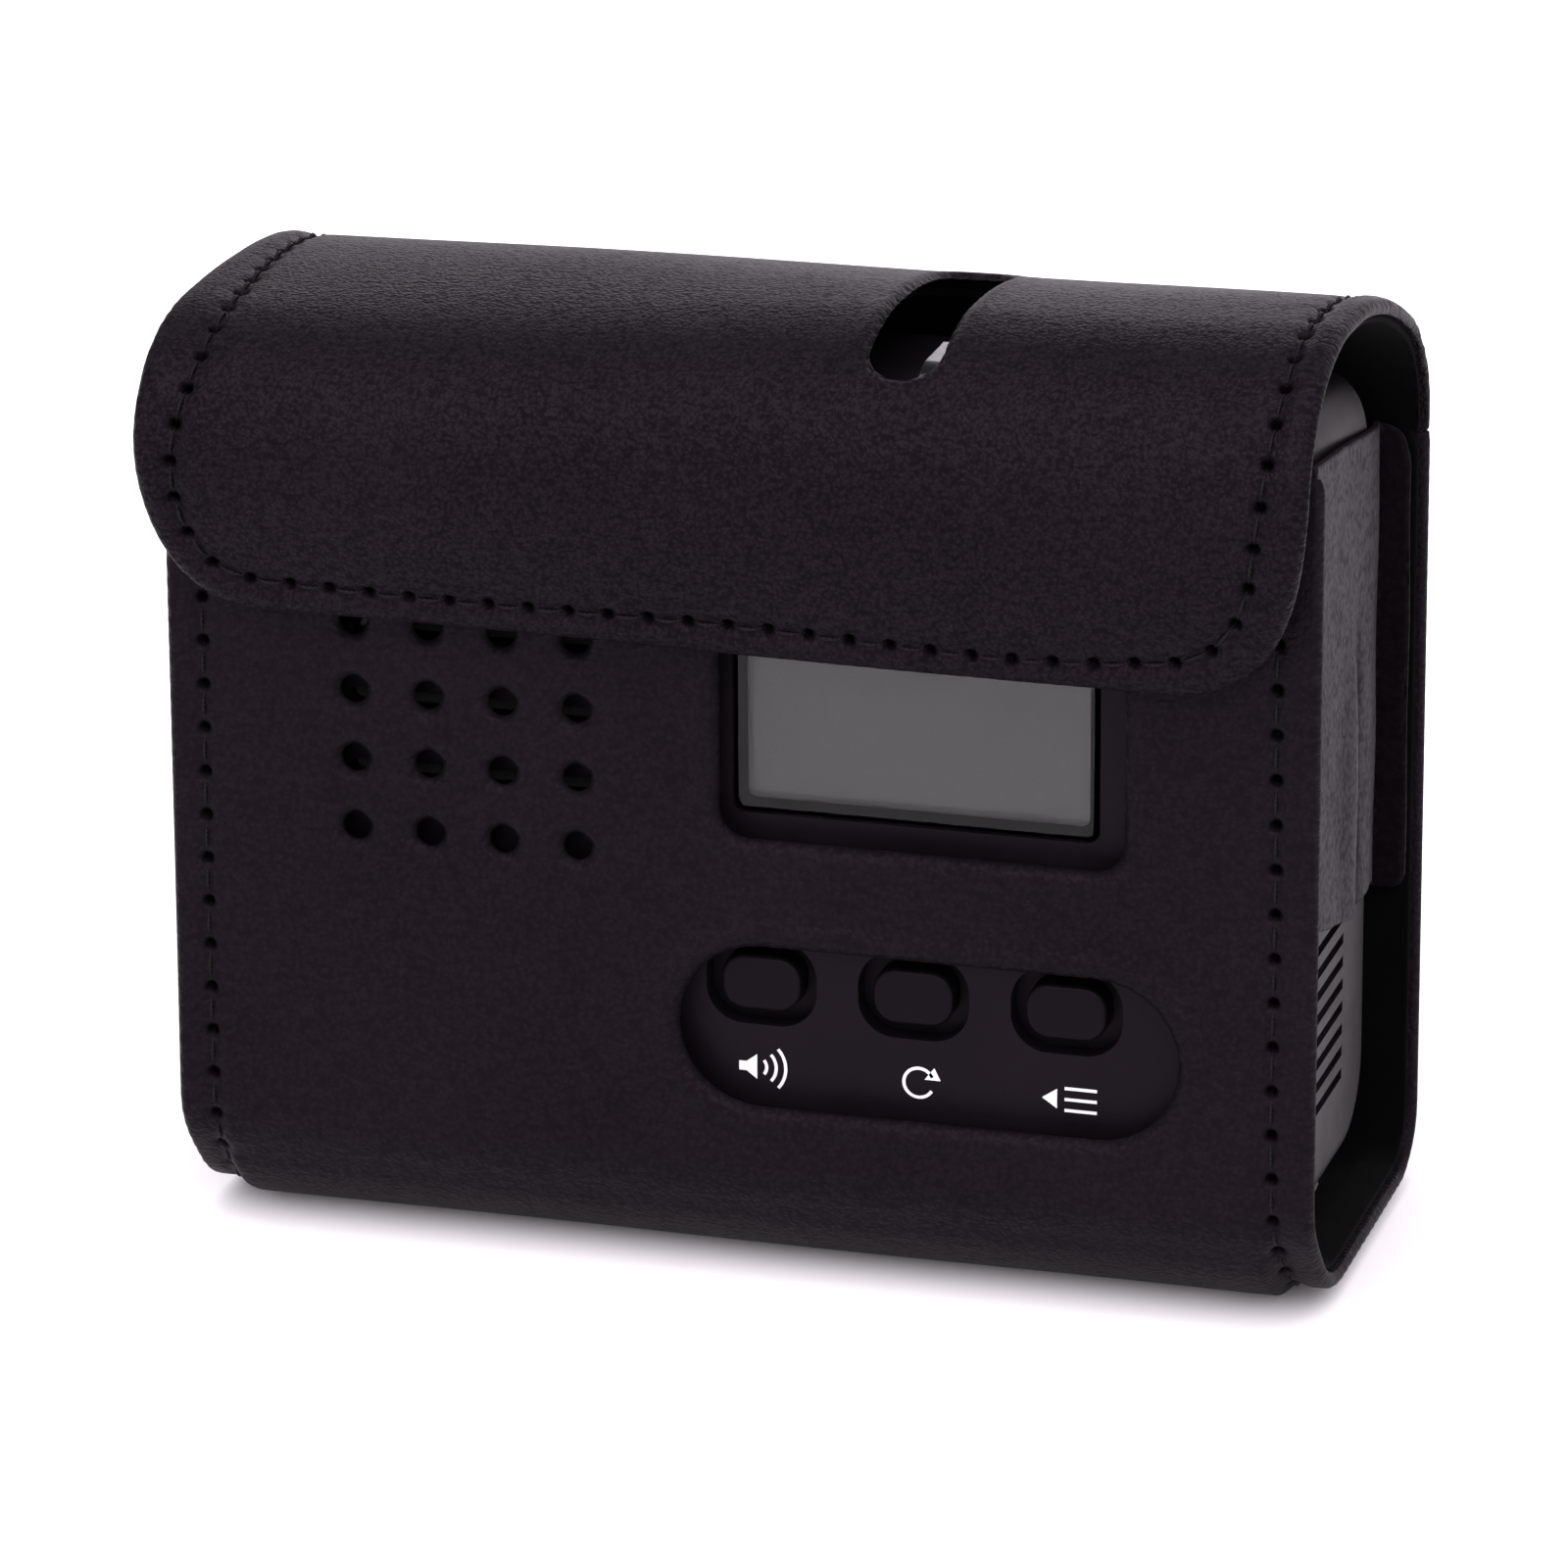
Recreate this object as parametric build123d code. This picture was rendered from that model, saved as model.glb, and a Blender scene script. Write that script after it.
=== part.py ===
from build123d import *
import os

# A hand-held speaker unit with a display and three keys, carried in a fitted
# leatherette belt case with a fold-over flap.  Millimetres.  +Z is up, the front
# faces -Y, and the origin is the middle of the surface that the case stands on.

# ---- case: driving dimensions ------------------------------------------------
CASE_WIDTH = 106.5
CASE_DEPTH = 44.2
FRONT_TOP = 81.0            # top edge of the front panel, under the flap
BACK_TOP = 75.0             # the back panel becomes the flap here
LEATHER = 1.4
LINING = 0.7
FOLD_FRONT = 14.0           # outside radius where the front panel turns under
FOLD_BACK = 7.0
BASE_PAD = 4.2

FRONT_Y = -CASE_DEPTH / 2
BACK_Y = CASE_DEPTH / 2

# ---- flap --------------------------------------------------------------------
FLAP_WIDTH = 107.0
FLAP_BULGE = 6.3            # how far the flap swells out in front of the panel
FLAP_LOW = 61.8             # lower edge of the flap
FLAP_CORNER = 11.0
HINGE_GAP = 0.3
SLOT_X = 15.6
SLOT_WIDTH = 7.2
SLOT_LENGTH = 27.0
SLOT_START = 1.0            # front end of the slot, behind the front panel's face

# ---- closure, hook and loop ---------------------------------------------------
CLOSURE = (28.0, 7.0)
CLOSURE_AT = (0.0, 71.3)
CLOSURE_CORNER = 1.5
CLOSURE_THICK = 0.9
CLOSURE_GAP = 0.4

# ---- side gussets: places are (x, depth behind the front panel) ----------------
GUSSET = 0.8
GUSSET_FRONT = (52.0, LEATHER + LINING + 0.1)
GUSSET_BEND = (50.45, 34.5)
GUSSET_BACK = (49.3, CASE_DEPTH - LEATHER - LINING - GUSSET - 0.1)
GUSSET_FRONT_Z = (38.0, 81.0)
GUSSET_BACK_Z = (30.5, 74.0)
FLANGE_OUT = 52.9
FLANGE_LOW = 29.0
FLANGE_CORNER = 2.4

# ---- openings in the front panel ---------------------------------------------
KEY_CUT = (47.2, 16.1)
KEY_CUT_AT = (17.8, 25.3)
LCD_CUT = (38.1, 23.1)
LCD_CUT_AT = (17.15, 54.45)
LCD_CUT_CORNER = 3.0
HOLE_DIAMETER = 3.3
HOLE_PITCH_X = 7.0
HOLE_PITCH_Z = 6.53
HOLES_AT = (-25.4, 50.8)

# ---- unit --------------------------------------------------------------------
UNIT_WIDTH = 99.8
UNIT_LOW = LEATHER + LINING + BASE_PAD + 0.2
UNIT_HIGH = 84.0
UNIT_FRONT = 3.6            # the unit's face, behind the front panel's face
UNIT_SEAM = 18.2
UNIT_BACK = 38.2
UNIT_ROUNDS = {"front_low": 3.5, "front_high": 4.5, "back_low": 9.0, "back_high": 15.0}
UNIT_EDGE_ROUND = 3.0       # round that runs all the way about each side face
UNIT_TOP_CORNER = 8.0       # top corners in the front view
WALL = 2.0
GRILLE_ROWS = 6
GRILLE_SLOT = (24.0, 1.6)
GRILLE_PITCH = 3.4
GRIP_ROWS = 8
GRIP_LOW = 16.0
GRIP_PITCH = 2.2

KEY_PITCH = 14.25
KEY_MIDDLE_X = 15.7
KEY_Z = 28.5
KEY_TRAVEL = 0.7
KEY_NAMES = ("volume_key", "reset_key", "review_key")
KEY_CAP = (7.5, 5.3, 2.2)               # width, height, corner
KEY_OPENING = (10.4, 8.2, 3.5)
KEY_FLANGE = (12.2, 9.8, 3.5)
KEY_PROUD = 0.4
KEY_STEM = 1.6

WINDOW = (34.1, 19.8)
WINDOW_AT = (15.85, 54.6)
BOARD_FRONT = 11.0
BOARD_THICK = 1.6
MIC_AT = (32.0, 75.0)
LENS = (15.6, 26.0)                     # x of the alert lens
LENS_DEPTH = (UNIT_FRONT, 15.0)
LENS_Z = (79.0, 87.0)                   # it stands proud of the unit's top
LENS_ROUNDS = (4.5, 1.0)                # front top edge, back top edge

SCREW_AT = [(side * 43.0, z) for side in (-1, 1) for z in (18.0, 68.0)]
SCREW_CORE = 1.25
BOARD_SCREW_AT = [(side * 42.0, z) for side in (-1, 1) for z in (36.0, 62.0)]
BOARD_SCREW_CORE = 0.9

CELL_RADIUS = 7.25                      # AA cells
CELL_LENGTH = 50.5
CELL_TIP = 1.3
CELL_DEPTH = 28.3
CELL_Z = (29.0, 44.2, 59.4)
DOOR = (64.0, 51.5)
DOOR_AT = (0.0, 44.2)
BAY = (59.6, 47.3)                      # room for the cells
BAY_RIM = 3.7

BELT_GAP = 4.4              # room for a belt between the loop and the back
BELT_LOOP_WIDTH = 38.0
BELT_LOOP_LOW = 14.0
BELT_LOOP_HIGH = 66.0
BELT_LOOP_THICK = 2.0


def behind(depth):
    """y of a plane that lies this far behind the front panel's outer face."""
    return FRONT_Y + depth


def block(x0, x1, y0, y1, z0, z1):
    """Box between two corners."""
    middle = Pos((x0 + x1) / 2, (y0 + y1) / 2, (z0 + z1) / 2)
    return middle * Box(x1 - x0, y1 - y0, z1 - z0)


def rounded_bar(size, corner, at, y0, y1):
    """Rounded rectangle in the front view, running back from y0 to y1."""
    outline = RectangleRounded(size[0], size[1], corner)
    face = Plane((at[0], y0, at[1]), x_dir=(1, 0, 0), z_dir=(0, 1, 0)) * outline
    return extrude(face, y1 - y0, dir=(0, 1, 0))


def disc(radius, x, z, y0, y1):
    """Cylinder along Y."""
    middle = Pos(x, (y0 + y1) / 2, z) * Rot(90, 0, 0)
    return middle * Cylinder(radius, y1 - y0)


def across(sketch, width, x=0.0):
    """Extrude a side-view (YZ) sketch over a width centred on x."""
    return Pos(x, 0, 0) * extrude(Plane.YZ * sketch, width / 2, both=True)


# ---- case --------------------------------------------------------------------
def u_region(inset):
    """Side view of everything inside the wrap's outer face, less an inset."""
    low = inset
    high = 130.0
    region = Pos(0, (low + high) / 2) * Rectangle(CASE_DEPTH - 2 * inset, high - low)
    bottom = region.vertices().sort_by(Axis.Y)[:2].sort_by(Axis.X)
    region = fillet(bottom[0], FOLD_FRONT - inset)
    bottom = region.vertices().filter_by(lambda v: abs(v.Y - low) < 1e-6)
    return fillet(bottom.sort_by(Axis.X)[-1], FOLD_BACK - inset)


def u_band(outer, inner, front_top, back_top):
    """Front, bottom and back walls as one bent band between two insets."""
    band = u_region(outer) - u_region(inner)
    band -= Pos(-CASE_DEPTH / 4, front_top + 50) * Rectangle(CASE_DEPTH / 2, 100)
    band -= Pos(CASE_DEPTH / 4, back_top + 50) * Rectangle(CASE_DEPTH / 2, 100)
    return band


def front_openings(grow, y0, y1):
    """Cutters for the key cut-out, the display cut-out and the speaker holes."""
    key_size = (KEY_CUT[0] + 2 * grow, KEY_CUT[1] + 2 * grow)
    lcd_size = (LCD_CUT[0] + 2 * grow, LCD_CUT[1] + 2 * grow)
    cutters = [
        rounded_bar(key_size, key_size[1] / 2 - 0.01, KEY_CUT_AT, y0, y1),
        rounded_bar(lcd_size, LCD_CUT_CORNER + grow, LCD_CUT_AT, y0, y1),
    ]
    for column in range(4):
        for row in range(4):
            x = HOLES_AT[0] + (column - 1.5) * HOLE_PITCH_X
            z = HOLES_AT[1] + (row - 1.5) * HOLE_PITCH_Z
            cutters.append(disc(HOLE_DIAMETER / 2 + grow, x, z, y0, y1))
    return cutters


def make_case_wrap():
    """Front panel, bottom and back panel: one sheet of leatherette."""
    wrap = across(u_band(0, LEATHER, FRONT_TOP, BACK_TOP), CASE_WIDTH)
    for cutter in front_openings(0, behind(-1), behind(LEATHER + 1)):
        wrap -= cutter
    return wrap


def make_case_lining():
    """Suede that faces the inside of the wrap."""
    band = u_band(LEATHER, LEATHER + LINING, FRONT_TOP - 0.6, BACK_TOP - 0.6)
    lining = across(band, CASE_WIDTH - 1.2)
    for cutter in front_openings(0.3, behind(0), behind(LEATHER + 2)):
        lining -= cutter
    return lining


def make_base_pad():
    """Felt-covered board that the unit stands on."""
    floor = LEATHER + LINING
    pad = block(-47, 47, behind(FOLD_FRONT), behind(36.5), floor, floor + BASE_PAD)
    return fillet(pad.edges().filter_by(Axis.Z), 4)


def make_gusset(side):
    """Side strip that joins front and back, with a flange on the back panel."""
    places = [(x, behind(depth)) for x, depth in (GUSSET_FRONT, GUSSET_BEND, GUSSET_BACK)]
    outside = [(x + GUSSET, y) for x, y in reversed(places)]
    plan = Polygon(*places, *outside, align=None)
    web = extrude(plan, 120, dir=(0, 0, 1))
    y0, y1 = places[0][1], places[-1][1]
    lower = Polygon((y0 - 1, 0), (y0 - 1, GUSSET_FRONT_Z[0]), (y1 + 1, GUSSET_BACK_Z[0]),
                    (y1 + 1, 0), align=None)
    upper = Polygon((y0 - 1, 130), (y0 - 1, GUSSET_FRONT_Z[1]), (y1 + 1, GUSSET_BACK_Z[1]),
                    (y1 + 1, 130), align=None)
    web -= across(lower, 140)
    web -= across(upper, 140)
    flange = block(GUSSET_BACK[0], FLANGE_OUT, y1, y1 + GUSSET, FLANGE_LOW, GUSSET_BACK_Z[1])
    corner = flange.edges().filter_by(Axis.Y).sort_by(Axis.Z)[-2:].sort_by(Axis.X)[-1]
    gusset = web + fillet(corner, FLANGE_CORNER)
    return gusset if side > 0 else mirror(gusset, Plane.YZ)


def make_belt_loop():
    """Strap on the back, sewn down at both ends, with a gap behind it."""
    out = BACK_Y + BELT_GAP
    tab = 7.0
    ramp = 5.0
    inner = [(BACK_Y, BELT_LOOP_LOW + tab), (out, BELT_LOOP_LOW + tab + ramp),
             (out, BELT_LOOP_HIGH - tab - ramp), (BACK_Y, BELT_LOOP_HIGH - tab)]
    outer = [(BACK_Y, BELT_LOOP_HIGH), (BACK_Y + BELT_LOOP_THICK, BELT_LOOP_HIGH),
             (BACK_Y + BELT_LOOP_THICK, BELT_LOOP_HIGH - tab + 0.8),
             (out + BELT_LOOP_THICK, BELT_LOOP_HIGH - tab - ramp + 0.8),
             (out + BELT_LOOP_THICK, BELT_LOOP_LOW + tab + ramp - 0.8),
             (BACK_Y + BELT_LOOP_THICK, BELT_LOOP_LOW + tab - 0.8),
             (BACK_Y + BELT_LOOP_THICK, BELT_LOOP_LOW), (BACK_Y, BELT_LOOP_LOW)]
    strap = across(Polygon(*inner, *outer, align=None), BELT_LOOP_WIDTH)
    return fillet(strap.edges().filter_by(Axis.Y), 3)


# ---- closure and flap --------------------------------------------------------
def make_loop_patch():
    """Soft half of the hook-and-loop closure, sewn to the front panel."""
    return rounded_bar(CLOSURE, CLOSURE_CORNER, CLOSURE_AT, behind(-CLOSURE_THICK), behind(0))


def make_hook_patch():
    """Hook half, on the inside of the flap."""
    front = behind(-FLAP_BULGE)
    back = behind(-CLOSURE_THICK - CLOSURE_GAP)
    patch = rounded_bar(CLOSURE, CLOSURE_CORNER, CLOSURE_AT, front, back)
    return patch & across(flap_inside(LEATHER + LINING), CASE_WIDTH)


def flap_curve():
    """Outer line of the flap from the hinge over the top to the lower edge."""
    start = (BACK_Y, BACK_TOP + HINGE_GAP)
    stations = [(41.0, 82.0), (28.0, 89.0), (15.0, 91.0), (1.0, 88.6), (-4.6, 84.2),
                (-FLAP_BULGE, 76.5), (-3.2, FLAP_LOW)]
    curve = [Line(start, (BACK_Y, BACK_TOP + 0.8))]
    for depth, z in stations:
        last = curve[-1]
        curve.append(TangentArc(last @ 1, (behind(depth), z), tangent=last % 1))
    return curve


def flap_inside(inset):
    """Side view of the space under the flap, this far inside its outer line."""
    curve = flap_curve()
    foot = Polyline(curve[-1] @ 1, (behind(-3.2), 40), (BACK_Y, 40), curve[0] @ 0)
    region = make_face(Wire(curve + foot.edges()))
    return offset(region, -inset, kind=Kind.INTERSECTION) if inset > 0 else region


def flap_sheet(outer, inner, trim):
    """One layer of the flap, with rounded lower corners and the slot."""
    below = FLAP_LOW + trim
    layer = flap_inside(outer) - flap_inside(inner)
    layer -= Pos(-50, below - 50) * Rectangle(100, 100)
    layer -= Pos(50, BACK_TOP + HINGE_GAP - 50) * Rectangle(100, 100)
    sheet = across(layer, FLAP_WIDTH)
    high = 120.0
    size = (FLAP_WIDTH - 2 * trim, high - below)
    sheet &= rounded_bar(size, FLAP_CORNER - trim, (0, (high + below) / 2), -60, 60)
    middle_y = behind(SLOT_START + SLOT_LENGTH / 2)
    slot_face = RectangleRounded(SLOT_WIDTH + 2 * trim, SLOT_LENGTH + 2 * trim,
                                 SLOT_WIDTH / 2 + trim - 0.01)
    return sheet - extrude(Pos(SLOT_X, middle_y, 70) * slot_face, 50)


def make_flap():
    """Outer leatherette of the flap."""
    return flap_sheet(0, LEATHER, 0)


def make_flap_lining():
    """Suede under the flap."""
    return flap_sheet(LEATHER, LEATHER + LINING, 0.6)


# ---- unit --------------------------------------------------------------------
def unit_side_view(inset):
    """The unit seen from its side, with a different round at each corner."""
    low, high = UNIT_LOW + inset, UNIT_HIGH - inset
    front, back = behind(UNIT_FRONT + inset), behind(UNIT_BACK - inset)
    view = Pos((front + back) / 2, (low + high) / 2) * Rectangle(back - front, high - low)
    places = {"front_low": (front, low), "front_high": (front, high),
              "back_low": (back, low), "back_high": (back, high)}
    for corner, (y, z) in places.items():
        spot = view.vertices().sort_by_distance((y, z, 0))[0]
        view = fillet(spot, max(UNIT_ROUNDS[corner] - inset, 0.5))
    return view


def top_corners(inset):
    """What rounds the unit's two top corners in the front view, less an inset."""
    radius = UNIT_TOP_CORNER - inset
    x0 = UNIT_WIDTH / 2 - inset - radius
    z0 = UNIT_HIGH - inset - radius
    corner = block(x0, x0 + radius + 4, -60, 60, z0, z0 + radius + 4)
    corner -= disc(radius, x0, z0, -61, 61)
    return [corner, mirror(corner, Plane.YZ)]


def unit_form(inset, depth_front, depth_back):
    """The unit's outer form, shrunk by an inset, between two depths."""
    form = across(unit_side_view(inset), UNIT_WIDTH - 2 * inset)
    if inset == 0:
        sides = form.faces().sort_by(Axis.X)
        rims = sides[0].edges() + sides[-1].edges()
        form = fillet(rims, UNIT_EDGE_ROUND)
    for corner in top_corners(inset):
        form -= corner
    keep = block(-60, 60, behind(depth_front), behind(depth_back), 0, 100)
    return form & keep


def side_grips():
    """Short grooves for the fingers on both sides of the unit."""
    grooves = []
    for row in range(GRIP_ROWS):
        z = GRIP_LOW + GRIP_PITCH * row
        for side in (-1, 1):
            groove = Box(1.2, 16, 1.0)
            grooves.append(Pos(side * UNIT_WIDTH / 2, behind(UNIT_SEAM + 1), z) * groove)
    return grooves


def key_places():
    """x of the three keys, left to right."""
    return [KEY_MIDDLE_X + (i - 1) * KEY_PITCH for i in range(3)]


def lens_notch():
    """Notch in the unit's top front edge, a little larger than the alert lens."""
    room = 0.15
    return block(LENS[0] - room, LENS[1] + room, behind(LENS_DEPTH[0] - 1),
                 behind(LENS_DEPTH[1] + room), LENS_Z[0] - room, LENS_Z[1])


def make_front_housing():
    """Front shell of the unit with its face, bosses and openings."""
    body = unit_form(0, 0, UNIT_SEAM) - unit_form(WALL, 0, UNIT_SEAM + 5)
    inner = behind(UNIT_FRONT + WALL)
    for x, z in SCREW_AT:
        body += disc(3.0, x, z, inner, behind(UNIT_SEAM))
        body -= disc(SCREW_CORE, x, z, inner + 2, behind(UNIT_SEAM + 1))
    for x, z in BOARD_SCREW_AT:
        body += disc(2.4, x, z, inner, behind(BOARD_FRONT))
        body -= disc(BOARD_SCREW_CORE, x, z, inner + 1.0, behind(BOARD_FRONT + 1))
    for x in key_places():
        body -= rounded_bar(KEY_OPENING[:2], KEY_OPENING[2], (x, KEY_Z), behind(0), inner + 1)
    body -= rounded_bar(WINDOW, 1.2, WINDOW_AT, behind(0), behind(UNIT_FRONT + 1.5))
    opening = (WINDOW[0] - 2.4, WINDOW[1] - 2.4)
    body -= rounded_bar(opening, 0.8, WINDOW_AT, behind(0), inner + 1)
    for row in range(GRILLE_ROWS):
        z = HOLES_AT[1] + (row - (GRILLE_ROWS - 1) / 2) * GRILLE_PITCH
        body -= rounded_bar(GRILLE_SLOT, GRILLE_SLOT[1] / 2 - 0.01, (HOLES_AT[0], z), behind(0),
                            inner + 1)
    body -= disc(0.7, MIC_AT[0], MIC_AT[1], behind(0), inner + 1)
    body -= lens_notch()
    for groove in side_grips():
        body -= groove
    return body


def make_rear_housing():
    """Rear shell with rounded back edges, the battery bay and screw bosses."""
    body = unit_form(0, UNIT_SEAM, CASE_DEPTH) - unit_form(WALL, UNIT_SEAM - 5, CASE_DEPTH)
    back = behind(UNIT_BACK)
    for x, z in SCREW_AT:
        body += disc(3.6, x, z, behind(UNIT_SEAM), back - WALL / 2)
        body -= disc(SCREW_CORE + 0.15, x, z, behind(UNIT_SEAM - 1), back + 1)
        body -= disc(2.6, x, z, back - 6, back + 1)
    rim = (BAY[0] + 2 * BAY_RIM, BAY[1] + 2 * BAY_RIM)
    body += rounded_bar(rim, 2.0, DOOR_AT, behind(UNIT_SEAM + 1), back - WALL / 2)
    body -= rounded_bar(BAY, 0.8, DOOR_AT, behind(UNIT_SEAM + 2.2), back + 1)
    body -= rounded_bar(DOOR, 1.5, DOOR_AT, back - WALL, back + 1)
    for groove in side_grips():
        body -= groove
    return body


def make_battery_door():
    """Sliding door over the cells, with a grip of five ribs."""
    back = behind(UNIT_BACK)
    size = (DOOR[0] - 0.4, DOOR[1] - 0.4)
    door = rounded_bar(size, 1.3, DOOR_AT, back - WALL + 0.05, back)
    for row in range(5):
        z = DOOR_AT[1] - 16 + 1.8 * row
        door -= rounded_bar((14, 0.9), 0.4, (0, z), back - 0.6, back + 1)
    return door


def make_battery_cells():
    """Three AA cells side by side."""
    cells = []
    can_length = CELL_LENGTH - CELL_TIP
    for z in CELL_Z:
        at = Pos(0, behind(CELL_DEPTH), z) * Rot(0, 90, 0)
        tip = Pos(0, 0, (can_length + CELL_TIP) / 2) * Cylinder(2.6, CELL_TIP)
        cells.append(at * (Cylinder(CELL_RADIUS, can_length) + tip))
    return Compound(children=cells)


def make_battery_contacts():
    """A sprung seat at one end of each cell and a button plate at the other."""
    pieces = []
    wall = BAY[0] / 2
    plate = 0.5
    seat = 3.8
    cell_end = (CELL_LENGTH + CELL_TIP) / 2
    reach = wall - plate - cell_end
    for z in CELL_Z:
        y = behind(CELL_DEPTH)
        flat = Box(plate, 9, 9)
        button = Pos(cell_end + reach / 2, y, z) * Rot(0, 90, 0) * Cylinder(2.0, reach)
        pieces.append(Pos(wall - plate / 2, y, z) * flat + button)
        cone = Pos(plate - wall + seat / 2, y, z) * Rot(0, 90, 0) * Cone(3.6, 2.2, seat)
        pieces.append(Pos(plate / 2 - wall, y, z) * flat + cone)
    return Compound(children=pieces)


def make_housing_screws():
    """Four long screws that hold the two shells together."""
    back = behind(UNIT_BACK)
    screws = []
    for x, z in SCREW_AT:
        shank = disc(SCREW_CORE, x, z, behind(UNIT_SEAM - 8), back - 6)
        head = disc(2.3, x, z, back - 6, back - 4)
        head -= Pos(x, back - 4, z) * Box(3.2, 1.2, 0.6)
        head -= Pos(x, back - 4, z) * Box(0.6, 1.2, 3.2)
        screws.append(shank + head)
    return Compound(children=screws)


def make_window():
    """Clear display window with a bevelled rim."""
    size = (WINDOW[0] - 0.2, WINDOW[1] - 0.2)
    plate = rounded_bar(size, 1.1, WINDOW_AT, behind(UNIT_FRONT), behind(UNIT_FRONT + 1.5))
    rim = plate.faces().sort_by(Axis.Y)[0].edges()
    return chamfer(rim, 0.5)


def make_display_glass():
    """Liquid-crystal cell behind the window."""
    size = (WINDOW[0] - 1.6, WINDOW[1] - 1.6)
    return rounded_bar(size, 0.3, WINDOW_AT, behind(6.0), behind(8.0))


def make_display_frame():
    """Moulded frame that carries the display on the board."""
    size = (WINDOW[0] + 3.0, WINDOW[1] + 3.0)
    frame = rounded_bar(size, 1.0, WINDOW_AT, behind(5.7), behind(BOARD_FRONT))
    hole = (WINDOW[0] - 1.4, WINDOW[1] - 1.4)
    frame -= rounded_bar(hole, 0.4, WINDOW_AT, behind(5), behind(8.1))
    light = (WINDOW[0] - 5.0, WINDOW[1] - 5.0)
    frame -= rounded_bar(light, 0.4, WINDOW_AT, behind(5), behind(BOARD_FRONT + 1))
    return frame


def make_contact_strips():
    """Two elastomer strips from the display glass to the board."""
    strips = []
    for side in (-1, 1):
        z = WINDOW_AT[1] + side * (WINDOW[1] / 2 - 4.0)
        x0 = WINDOW_AT[0] - 14
        strips.append(block(x0, x0 + 28, behind(8.0), behind(BOARD_FRONT), z - 0.8, z + 0.8))
    return Compound(children=strips)


def make_main_board():
    """Circuit board, notched round the housing bosses."""
    board = block(-46, 46, behind(BOARD_FRONT), behind(BOARD_FRONT + BOARD_THICK), 9.5, 79)
    for x, z in SCREW_AT:
        board -= disc(3.3, x, z, behind(BOARD_FRONT - 1), behind(BOARD_FRONT + 3))
        board -= block(min(x, x * 1.2), max(x, x * 1.2), behind(BOARD_FRONT - 1),
                       behind(BOARD_FRONT + 3), z - 3.3, z + 3.3)
    for x, z in BOARD_SCREW_AT:
        board -= disc(1.2, x, z, behind(BOARD_FRONT - 1), behind(BOARD_FRONT + 3))
    return board


def make_board_screws():
    """Four short screws that hold the board on its bosses."""
    rear = behind(BOARD_FRONT + BOARD_THICK)
    screws = []
    for x, z in BOARD_SCREW_AT:
        shank = disc(BOARD_SCREW_CORE, x, z, behind(UNIT_FRONT + WALL + 1.5), rear)
        head = disc(1.9, x, z, rear, rear + 1.2)
        head -= Pos(x, rear + 1.2, z) * Box(2.4, 1.0, 0.5)
        head -= Pos(x, rear + 1.2, z) * Box(0.5, 1.0, 2.4)
        screws.append(shank + head)
    return Compound(children=screws)


def make_speaker():
    """Flat loudspeaker behind the grille."""
    x, z = HOLES_AT
    rim = disc(14.0, x, z, behind(6.0), behind(7.4))
    cone = Pos(x, behind(8.3), z) * Rot(90, 0, 0) * Cone(9.0, 13.0, 1.8)
    magnet = disc(8.0, x, z, behind(9.2), behind(10.8))
    return rim + cone + magnet


def make_speaker_felt():
    """Dust felt between the grille and the speaker."""
    return disc(13.5, HOLES_AT[0], HOLES_AT[1], behind(UNIT_FRONT + WALL), behind(6.0))


def make_microphone():
    """Small capsule on the board."""
    x, z = MIC_AT
    can = disc(3.0, x, z, behind(8.4), behind(BOARD_FRONT))
    return fillet(can.faces().sort_by(Axis.Y)[0].edges(), 0.3)


def make_key(x):
    """Key cap with its retaining flange and stem."""
    face = behind(UNIT_FRONT - KEY_PROUD)
    cap = rounded_bar(KEY_CAP[:2], KEY_CAP[2], (x, KEY_Z), face, behind(6.2))
    cap = fillet(cap.faces().sort_by(Axis.Y)[0].edges(), 0.5)
    flange = rounded_bar(KEY_FLANGE[:2], KEY_FLANGE[2], (x, KEY_Z), behind(5.9), behind(6.9))
    stem = disc(KEY_STEM, x, KEY_Z, behind(6.9), behind(8.2))
    return cap + flange + stem


def make_key_switches():
    """Three push switches on the board, with metal plungers."""
    switches = []
    for x in key_places():
        top = behind(8.2 + KEY_TRAVEL + 0.1)
        body = block(x - 3, x + 3, behind(9.6), behind(BOARD_FRONT), KEY_Z - 3, KEY_Z + 3)
        switches.append(body + disc(1.7, x, KEY_Z, top, behind(9.6)))
    return Compound(children=switches)


def make_alert_lens():
    """Clear block in the top front edge that glows when the alert is on."""
    (front, back), (low, high) = LENS_DEPTH, LENS_Z
    view = Pos(behind((front + back) / 2), (low + high) / 2) * Rectangle(back - front, high - low)
    for depth, radius in zip(LENS_DEPTH, LENS_ROUNDS):
        spot = view.vertices().sort_by_distance((behind(depth), high, 0))[0]
        view = fillet(spot, radius)
    lens = Pos((LENS[0] + LENS[1]) / 2, 0, 0) * across(view, LENS[1] - LENS[0])
    hollow = block(LENS[0] + 1.6, LENS[1] - 1.6, behind(UNIT_FRONT + 3.0),
                   behind(LENS_DEPTH[1] - 1.6), low - 1, high - 2.6)
    return lens - hollow


def make_alert_lamp():
    """Light-emitting diode in a holder behind the board."""
    x = (LENS[0] + LENS[1]) / 2
    y = behind(15.4)
    base = block(x - 3, x + 3, behind(BOARD_FRONT + BOARD_THICK), behind(17.8), 68, 71)
    can = Pos(x, y, 73) * Cylinder(2.4, 4.0)
    dome = Pos(x, y, 75) * Sphere(2.4)
    return base + can + dome


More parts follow.
